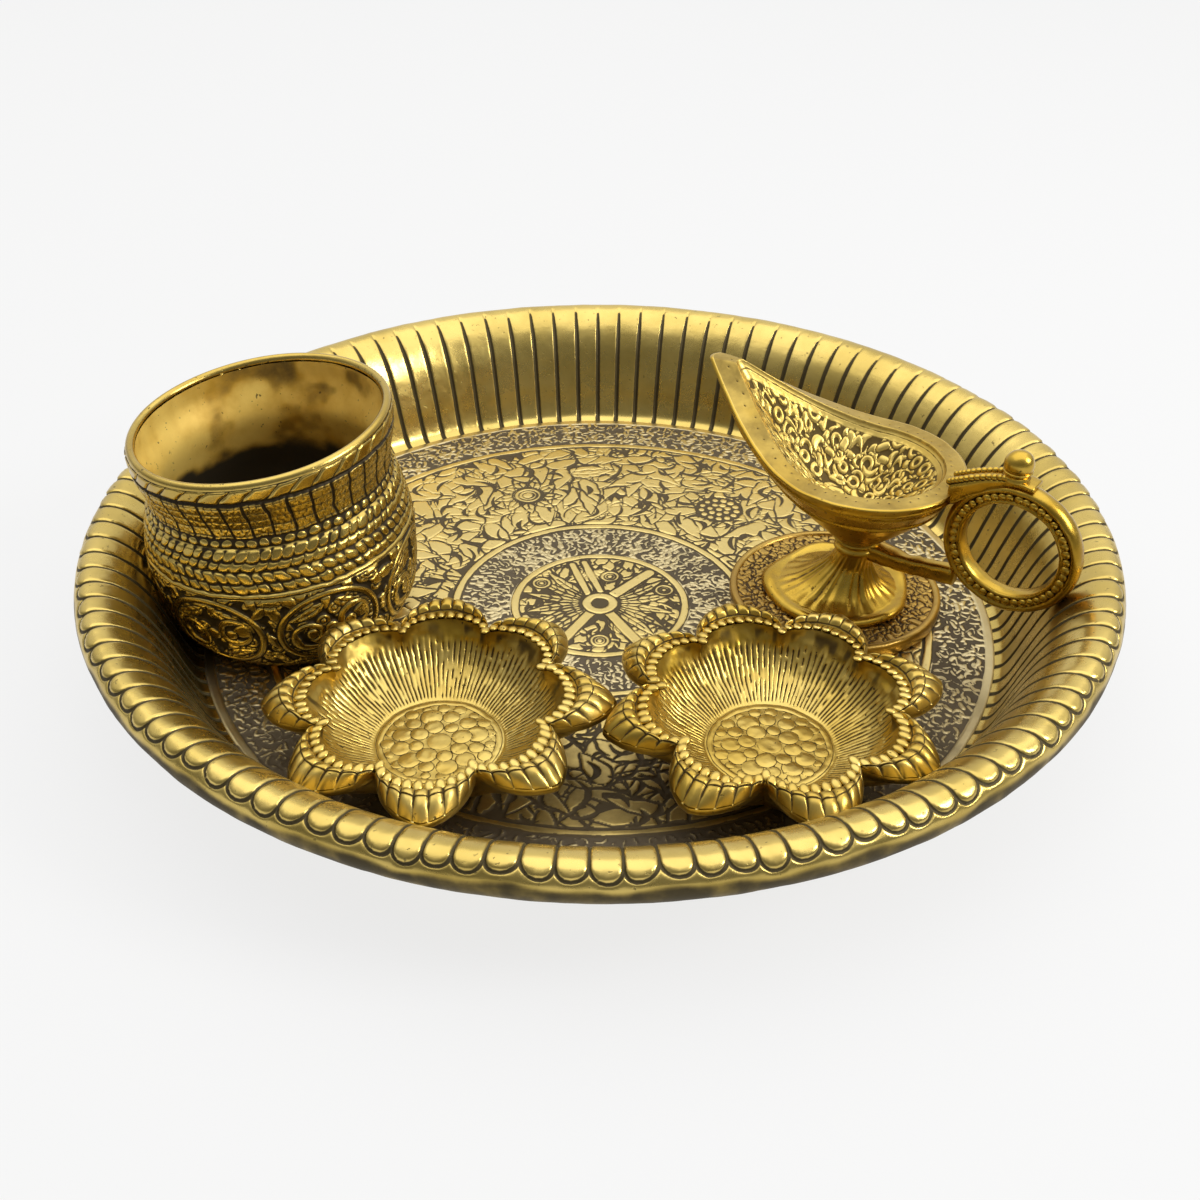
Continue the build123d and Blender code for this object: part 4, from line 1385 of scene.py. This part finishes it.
# Stem: (height, radius) stations above its foot, the flare's heights as shares of its run
flange = [(0.05, 19.0), (0.1, 20.3), (1.0, 20.9), (2.1, 20.5), (2.7, 19.4), (2.8, 18.4)]
flare = [(0, 17.6), (0.2, 12.2), (0.45, 8.6), (0.75, 6.0), (1, 5.2)]
collar = [(16.5, 5.9), (17.2, 6.3), (17.9, 5.9), (18.4, 5.3), (19.1, 5.8), (20.0, 6.7)]
flare_start, flare_run = 2.0, 14
stem_flutes, stem_flute_share = 26, 0.038


def lamp_stem():
    """Stem: thick wavy flange, fluted flare, thin neck and a small collar; it leans toward the handle."""
    around = round_steps(360)
    uneven = 0.6 + 0.4 * np.sin(around * 7)
    flute = np.cos(around * stem_flutes + 0.9 * np.sin(around * 3)) * uneven
    wave = np.cos(around * 5 + 1)
    rows = Rows()

    def add(height, radius, cut, waved):
        lean = stem_lean * min(height / (flare_start + flare_run), 1)
        reach = radius * (1 + stem_flute_share * cut * flute) + 0.6 * wave * waved
        level = stem_foot + height + waved * (0.3 + 0.45 * wave)
        points = ring_points(around, reach, level) + np.array([lean, 0, 0])
        rows.add(points, 0.75 - cut * 0.6 * (1 - flute) / 2)

    for height, radius in flange:
        add(height, radius, 0, height > flange[0][0])
    for share in np.linspace(0.02, 1, 44):
        cut = min(1, share * 8) * (1 - 0.75 * ease(share, 0.55, 1))
        add(flare_start + flare_run * share, curve_through(flare, np.array([share]))[0], cut, 0)
    for height, radius in collar:
        add(height, radius, 0, 0)
    points, line, _ = rows.stacked()
    stem = Casting()
    stem.closed_sheet(roughened(lamp_place(points), 0.1, 3, 23), line)
    stem.make("lamp_fluted_stem", "lamp", "lamp_stem", "lamp_brass", lamp_metal)


# Base disc: its pebbled ring, and its rim as (inset, height) stations
pebbles_start, pebbles_end = 12, disc_radius - 2.2
pebble_ground, pebble_height = 3.2, 0.7
disc_rim = np.array([
    (2.4, 3.3), (2.2, 4.0), (1.8, 4.4), (1.1, 4.5), (0.4, 4.3), (0.1, 3.9), (0, 3.0),
    (0, 1.2), (0.2, 0.4), (0.6, 0.05), (2.3, 0.0), (disc_radius - 6, 0.0)])


def lamp_disc():
    """Base disc: pebbled relief inside a plain raised rim."""
    around = round_steps(460)
    r = np.linspace(pebbles_start, pebbles_end, 52)[:, None]
    art = Chasing(r * np.cos(around), r * np.sin(around))
    chance = np.random.default_rng(91)
    for px, py in loose_ring(pebbles_start, pebbles_end, 2.0, chance):
        art.stroke(px, py, chance.uniform(0, pi), chance.uniform(1.2, 2.6), chance.uniform(1.0, 1.4),
                   chance.normal(0, 0.3))
    disc = Casting()
    height = pebble_ground + pebble_height * ease(art.gap, -0.25, 0.5)
    disc.sheet(lamp_place(ring_points(around, r, height)), art.gap, flip=True)
    rim = lamp_place(ring_points(around, disc_radius - disc_rim[:, :1], disc_rim[:, 1:]))
    disc.sheet(roughened(rim, 0.06, 3, 29), flip=True)
    disc.make("lamp_pebbled_disc", "lamp", "lamp_base_disc", "disc_bronze", disc_metal)


lamp_bowl()
lamp_stem()
lamp_disc()

# Handle: finger ring, bracket from the bowl, strut from the stem and a thumb ball
ring_low, ring_high = node_box("handle_ring")
ring_reach = 48.3
ring_level = (ring_low + ring_high)[2] / 2 - stand
ring_radius = (ring_high - ring_low)[2] / 2
ring_hole = 13.0
ring_track = ring_hole + 2.3
ring_top = ring_level + ring_radius
ball_low, ball_high = node_box("thumb_ball")
ball_radius = (ball_high - ball_low)[2] / 2 - 0.3
ball_level = (ball_low + ball_high)[2] / 2 - stand - 0.4
ball_reach = ring_reach - 2.4
# The small cup under the ball: (radius, height) stations above the ring's crown
ball_cup = np.array([(3.6, 0.2), (3.8, 0.7), (3.2, 1.2), (3.3, 2.0), (3.8, 2.7), (3.5, 3.0), (2.9, 2.6)])
bracket_bead_pairs = 14


# Rounded lips of the ring's square section: (inset, half width) stations from the middle of a face
inner_lip = [(0, 0), (0.1, 1.4), (0.3, 2.3), (0.7, 2.8), (1.1, 2.8), (1.4, 2.2)]
outer_lip = [(0, 0), (0.15, 1.2), (0.6, 2.2), (1.3, 2.9), (1.9, 2.95), (2.3, 2.3)]
ring_bead_count, ring_bead_size, ring_bead_side = 44, 1.1, 2.45
ring_bead_shape = np.array([1.15, 1.1, 0.75])
bead_groove_half = 1.15


def ring_place(angle, radius, side):
    """Points of the upright finger ring in the lamp's frame."""
    x, z = ring_reach + radius * np.cos(angle), ring_level + radius * np.sin(angle)
    return np.stack(np.broadcast_arrays(x, side, z), axis=-1)


def finger_ring():
    """Ring of square section with rounded lips and a row of beads sunk in each face."""
    around = round_steps(240)
    face = [(ring_hole + inset, side) for inset, side in inner_lip]
    face += [(ring_radius - inset, side) for inset, side in outer_lip[::-1]]
    outline = np.array(face + [(radius, -side) for radius, side in face[-2:0:-1]] + face[:1])
    sunk = np.abs(outline[:, 0] - ring_track) < bead_groove_half
    grid = roughened(lamp_place(ring_place(around, outline[:, :1], outline[:, 1:])), 0.1, 2.5, 33)
    ring = Casting()
    ring.sheet(grid, np.where(sunk, 0.05, no_line)[:, None], np.clip(0.05 + 0.3 * lumps(grid, 4, 34), 0, 1))
    chance = np.random.default_rng(35)
    count = ring_bead_count
    for side in (-1, 1):
        angle = (np.arange(count) + chance.uniform(-0.1, 0.1, count)) * turn / count
        size = ring_bead_size * (1 + chance.normal(0, 0.07, (count, 1)))
        middle = ring_place(0 * angle, 0.0, 0.0)
        along = ring_place(angle + pi / 2, 1.0, 0.0) - middle
        outward = ring_place(angle, 1.0, 0.0) - middle
        frames = np.stack([side * along, outward, np.broadcast_to([0, side, 0], along.shape)], axis=-2)
        centres = lamp_place(ring_place(angle, ring_track, ring_bead_side * side))
        ring.beads(centres, size * ring_bead_shape, lamp_frames(frames), 0.25)
    ring.make("handle_beaded_ring", "lamp", "handle_ring", "lamp_brass", lamp_metal)


def bar(stations):
    """A bar of rounded-square section through (reach, level, half width, half height, tilt) stations."""
    angle = round_steps(48)
    side = np.sign(np.cos(angle)) * np.abs(np.cos(angle)) ** 0.6
    up = np.sign(np.sin(angle)) * np.abs(np.sin(angle)) ** 0.6
    stations = np.array(stations)
    steps = np.linspace(0, len(stations) - 1, 40)
    x, z, half_wide, half_tall, tilt = (
        np.interp(steps, np.arange(len(stations)), values)[:, None] for values in stations.T)
    local = np.stack(np.broadcast_arrays(
        x - up * half_tall * np.sin(tilt), side * half_wide, z + up * half_tall * np.cos(tilt)), axis=-1)
    piece = Casting()
    piece.closed_sheet(roughened(lamp_place(local), 0.14, 2.5, 37))
    return piece


def bracket():
    """Chunky beaded arm from the bowl to the top of the ring, with the small cup under the ball."""
    crown = ring_top + 0.7
    path = [
        (30.0, 47.4, 3.2, 3.6, 0.1), (33, 49.2, 3.2, 3.2, 0.3), (36.5, 51.6, 3.1, 2.6, 0.42),
        (40, 53.8, 3.0, 1.9, 0.42), (43.5, 55.5, 3.0, 1.2, 0.3), (46, crown - 0.1, 3.2, 1.0, 0.1),
        (49, crown, 3.3, 1.0, 0.0), (51.7, crown - 0.1, 3.1, 0.8, -0.1)]
    spots = []
    for step in np.linspace(0, 5, bracket_bead_pairs):
        x, z, wide, tall, tilt = (np.interp(step, range(len(path)), values) for values in np.array(path).T)
        spots += [(x - tall * sin(tilt), side * wide * 0.72, z + tall * cos(tilt)) for side in (-1, 1)]
    arm = bar(path)
    arm.beads(lamp_place(np.array(spots)), (1.0, 1.0, 1.0), np.eye(3), 0.4)
    seat = ring_points(round_steps(64), ball_cup[:, :1], crown + ball_cup[:, 1:])
    arm.sheet(lamp_place(seat + np.array([ball_reach, 0, 0])))
    arm.make("handle_beaded_bracket", "lamp", "handle_bracket", "lamp_brass", lamp_metal)


def strut():
    """Plain cast branch from the stem's collar to the underside of the ring."""
    root, tail = 20.6, 22.4
    branch = bar([
        (9.6, root, 2.3, 2.6, 0.0), (14, root - 0.3, 2.3, 2.6, -0.05), (19, root - 0.3, 2.2, 2.5, 0.0),
        (24, root + 0.3, 2.2, 2.5, 0.1), (29, root + 1.0, 2.3, 2.6, 0.1), (34.5, tail, 2.5, 2.8, 0.1)])
    branch.make("handle_plain_strut", "lamp", "handle_strut", "lamp_brass", lamp_metal)


def thumb_ball():
    """The ball, a little uneven."""
    polar = np.linspace(0.04, pi - 0.04, 40)[:, None]
    reach, height = ball_radius * np.sin(polar), ball_level + ball_radius * np.cos(polar)
    local = ring_points(round_steps(72), reach, height) + np.array([ball_reach, 0, 0])
    ball = Casting()
    ball.closed_sheet(roughened(lamp_place(local), 0.06, 3, 39), flip=True)
    ball.make("handle_thumb_ball", "lamp", "thumb_ball", "lamp_brass", lamp_metal)


finger_ring()
bracket()
strut()
thumb_ball()

# The hidden screw keeps its CAD shape and takes the lamp's metal
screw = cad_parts["lamp_screw"]
screw.data.materials.clear()
screw.data.materials.append(lamp_metal)

# Studio: pale floor and backdrop, bright overhead and behind, dark on the camera's side
background_grey, horizon_grey = 0.93, 0.86
floor_glow_share = 0.85
paper_grey = 0.72
room_shades = ((0.0, 0.22), (0.08, 0.26), (0.2, 0.32), (0.36, 0.45), (0.62, 0.9), (1.0, 1.0))
room_axis = (0, 0.55, 0.835)
softboxes = (
    ("softbox_over", (0.0, 0.2, 1.0), (1.8, 1.3), 7),
    ("softbox_right", (0.85, -0.25, 0.62), (0.35, 0.35), 6),
)
softbox_aim = Vector((0, 0, 0.02))
floor_half, floor_drop = 4, 0.0002
camera_place = (-0.000002, -0.333522, 0.238726)
camera_dip, camera_roll = 0.615366, 0.008433
camera_lens, camera_sensor = 42.378, 36


def studio_floor():
    """Pale paper that keeps the object's soft shadow."""
    mesh = bpy.data.meshes.new("studio_floor")
    corners = [(x * floor_half, y * floor_half, 0) for x, y in ((-1, -1), (1, -1), (1, 1), (-1, 1))]
    mesh.from_pydata(corners, [], [(0, 1, 2, 3)])
    floor = bpy.data.objects.new("studio_floor", mesh)
    floor.location.z = -floor_drop
    bpy.context.scene.collection.objects.link(floor)
    paper = bpy.data.materials.new("pale_paper")
    paper.use_nodes = True
    tree = paper.node_tree
    shader = tree.nodes["Principled BSDF"]
    shader.inputs["Base Color"].default_value = (paper_grey, paper_grey, paper_grey, 1)
    shader.inputs["Roughness"].default_value = 0.9
    glow = tree.nodes.new("ShaderNodeEmission")
    glow.inputs["Color"].default_value = (background_grey, background_grey, background_grey, 1)
    rays = tree.nodes.new("ShaderNodeLightPath")
    seen = value_step(tree, "MAXIMUM", rays.outputs["Is Camera Ray"], rays.outputs["Is Glossy Ray"])
    seen = value_step(tree, "MAXIMUM", seen, rays.outputs["Is Transmission Ray"])
    blend = tree.nodes.new("ShaderNodeMixShader")
    tree.links.new(value_step(tree, "MULTIPLY", seen, floor_glow_share), blend.inputs[0])
    tree.links.new(shader.outputs[0], blend.inputs[1])
    tree.links.new(glow.outputs[0], blend.inputs[2])
    tree.links.new(blend.outputs[0], tree.nodes["Material Output"].inputs["Surface"])
    mesh.materials.append(paper)


def studio_room():
    """Soft room light that fades toward the camera's side; the camera itself sees plain grey-white."""
    world = bpy.data.worlds.new("soft_studio")
    bpy.context.scene.world = world
    world.use_nodes = True
    tree = world.node_tree
    tree.nodes.clear()
    facing = tree.nodes.new("ShaderNodeVectorMath")
    facing.operation = "DOT_PRODUCT"
    facing.inputs[1].default_value = room_axis
    tree.links.new(tree.nodes.new("ShaderNodeTexCoord").outputs["Generated"], facing.inputs[0])
    ramp = tree.nodes.new("ShaderNodeValToRGB")
    tree.links.new(facing.outputs["Value"], ramp.inputs[0])
    while len(ramp.color_ramp.elements) < len(room_shades):
        ramp.color_ramp.elements.new(0.5)
    for element, (place, shade) in zip(ramp.color_ramp.elements, room_shades):
        element.position, element.color = place, (shade, shade, shade * 0.98, 1)
    room = tree.nodes.new("ShaderNodeBackground")
    tree.links.new(ramp.outputs[0], room.inputs["Color"])
    plain = tree.nodes.new("ShaderNodeBackground")
    plain.inputs["Color"].default_value = (horizon_grey, horizon_grey, horizon_grey, 1)
    blend = tree.nodes.new("ShaderNodeMixShader")
    tree.links.new(tree.nodes.new("ShaderNodeLightPath").outputs["Is Camera Ray"], blend.inputs[0])
    tree.links.new(room.outputs[0], blend.inputs[1])
    tree.links.new(plain.outputs[0], blend.inputs[2])
    tree.links.new(blend.outputs[0], tree.nodes.new("ShaderNodeOutputWorld").inputs["Surface"])


def studio_lights_and_camera():
    """Two softboxes, and the camera that was fitted to the photograph."""
    scene = bpy.context.scene
    scene.view_settings.view_transform = "Standard"
    for name, place, size, watts in softboxes:
        light = bpy.data.lights.new(name, "AREA")
        light.shape = "RECTANGLE"
        light.size, light.size_y = size
        light.energy = watts
        box = bpy.data.objects.new(name, light)
        box.location = place
        box.rotation_euler = (softbox_aim - Vector(place)).to_track_quat("-Z", "Y").to_euler()
        scene.collection.objects.link(box)
    lens = bpy.data.cameras.new("camera")
    lens.lens = camera_lens
    lens.sensor_width = camera_sensor
    camera = bpy.data.objects.new("camera", lens)
    camera.matrix_world = (Matrix.Translation(camera_place) @ Matrix.Rotation(pi / 2 - camera_dip, 4, "X")
                           @ Matrix.Rotation(camera_roll, 4, "Z"))
    scene.collection.objects.link(camera)
    scene.camera = camera


studio_floor()
studio_room()
studio_lights_and_camera()
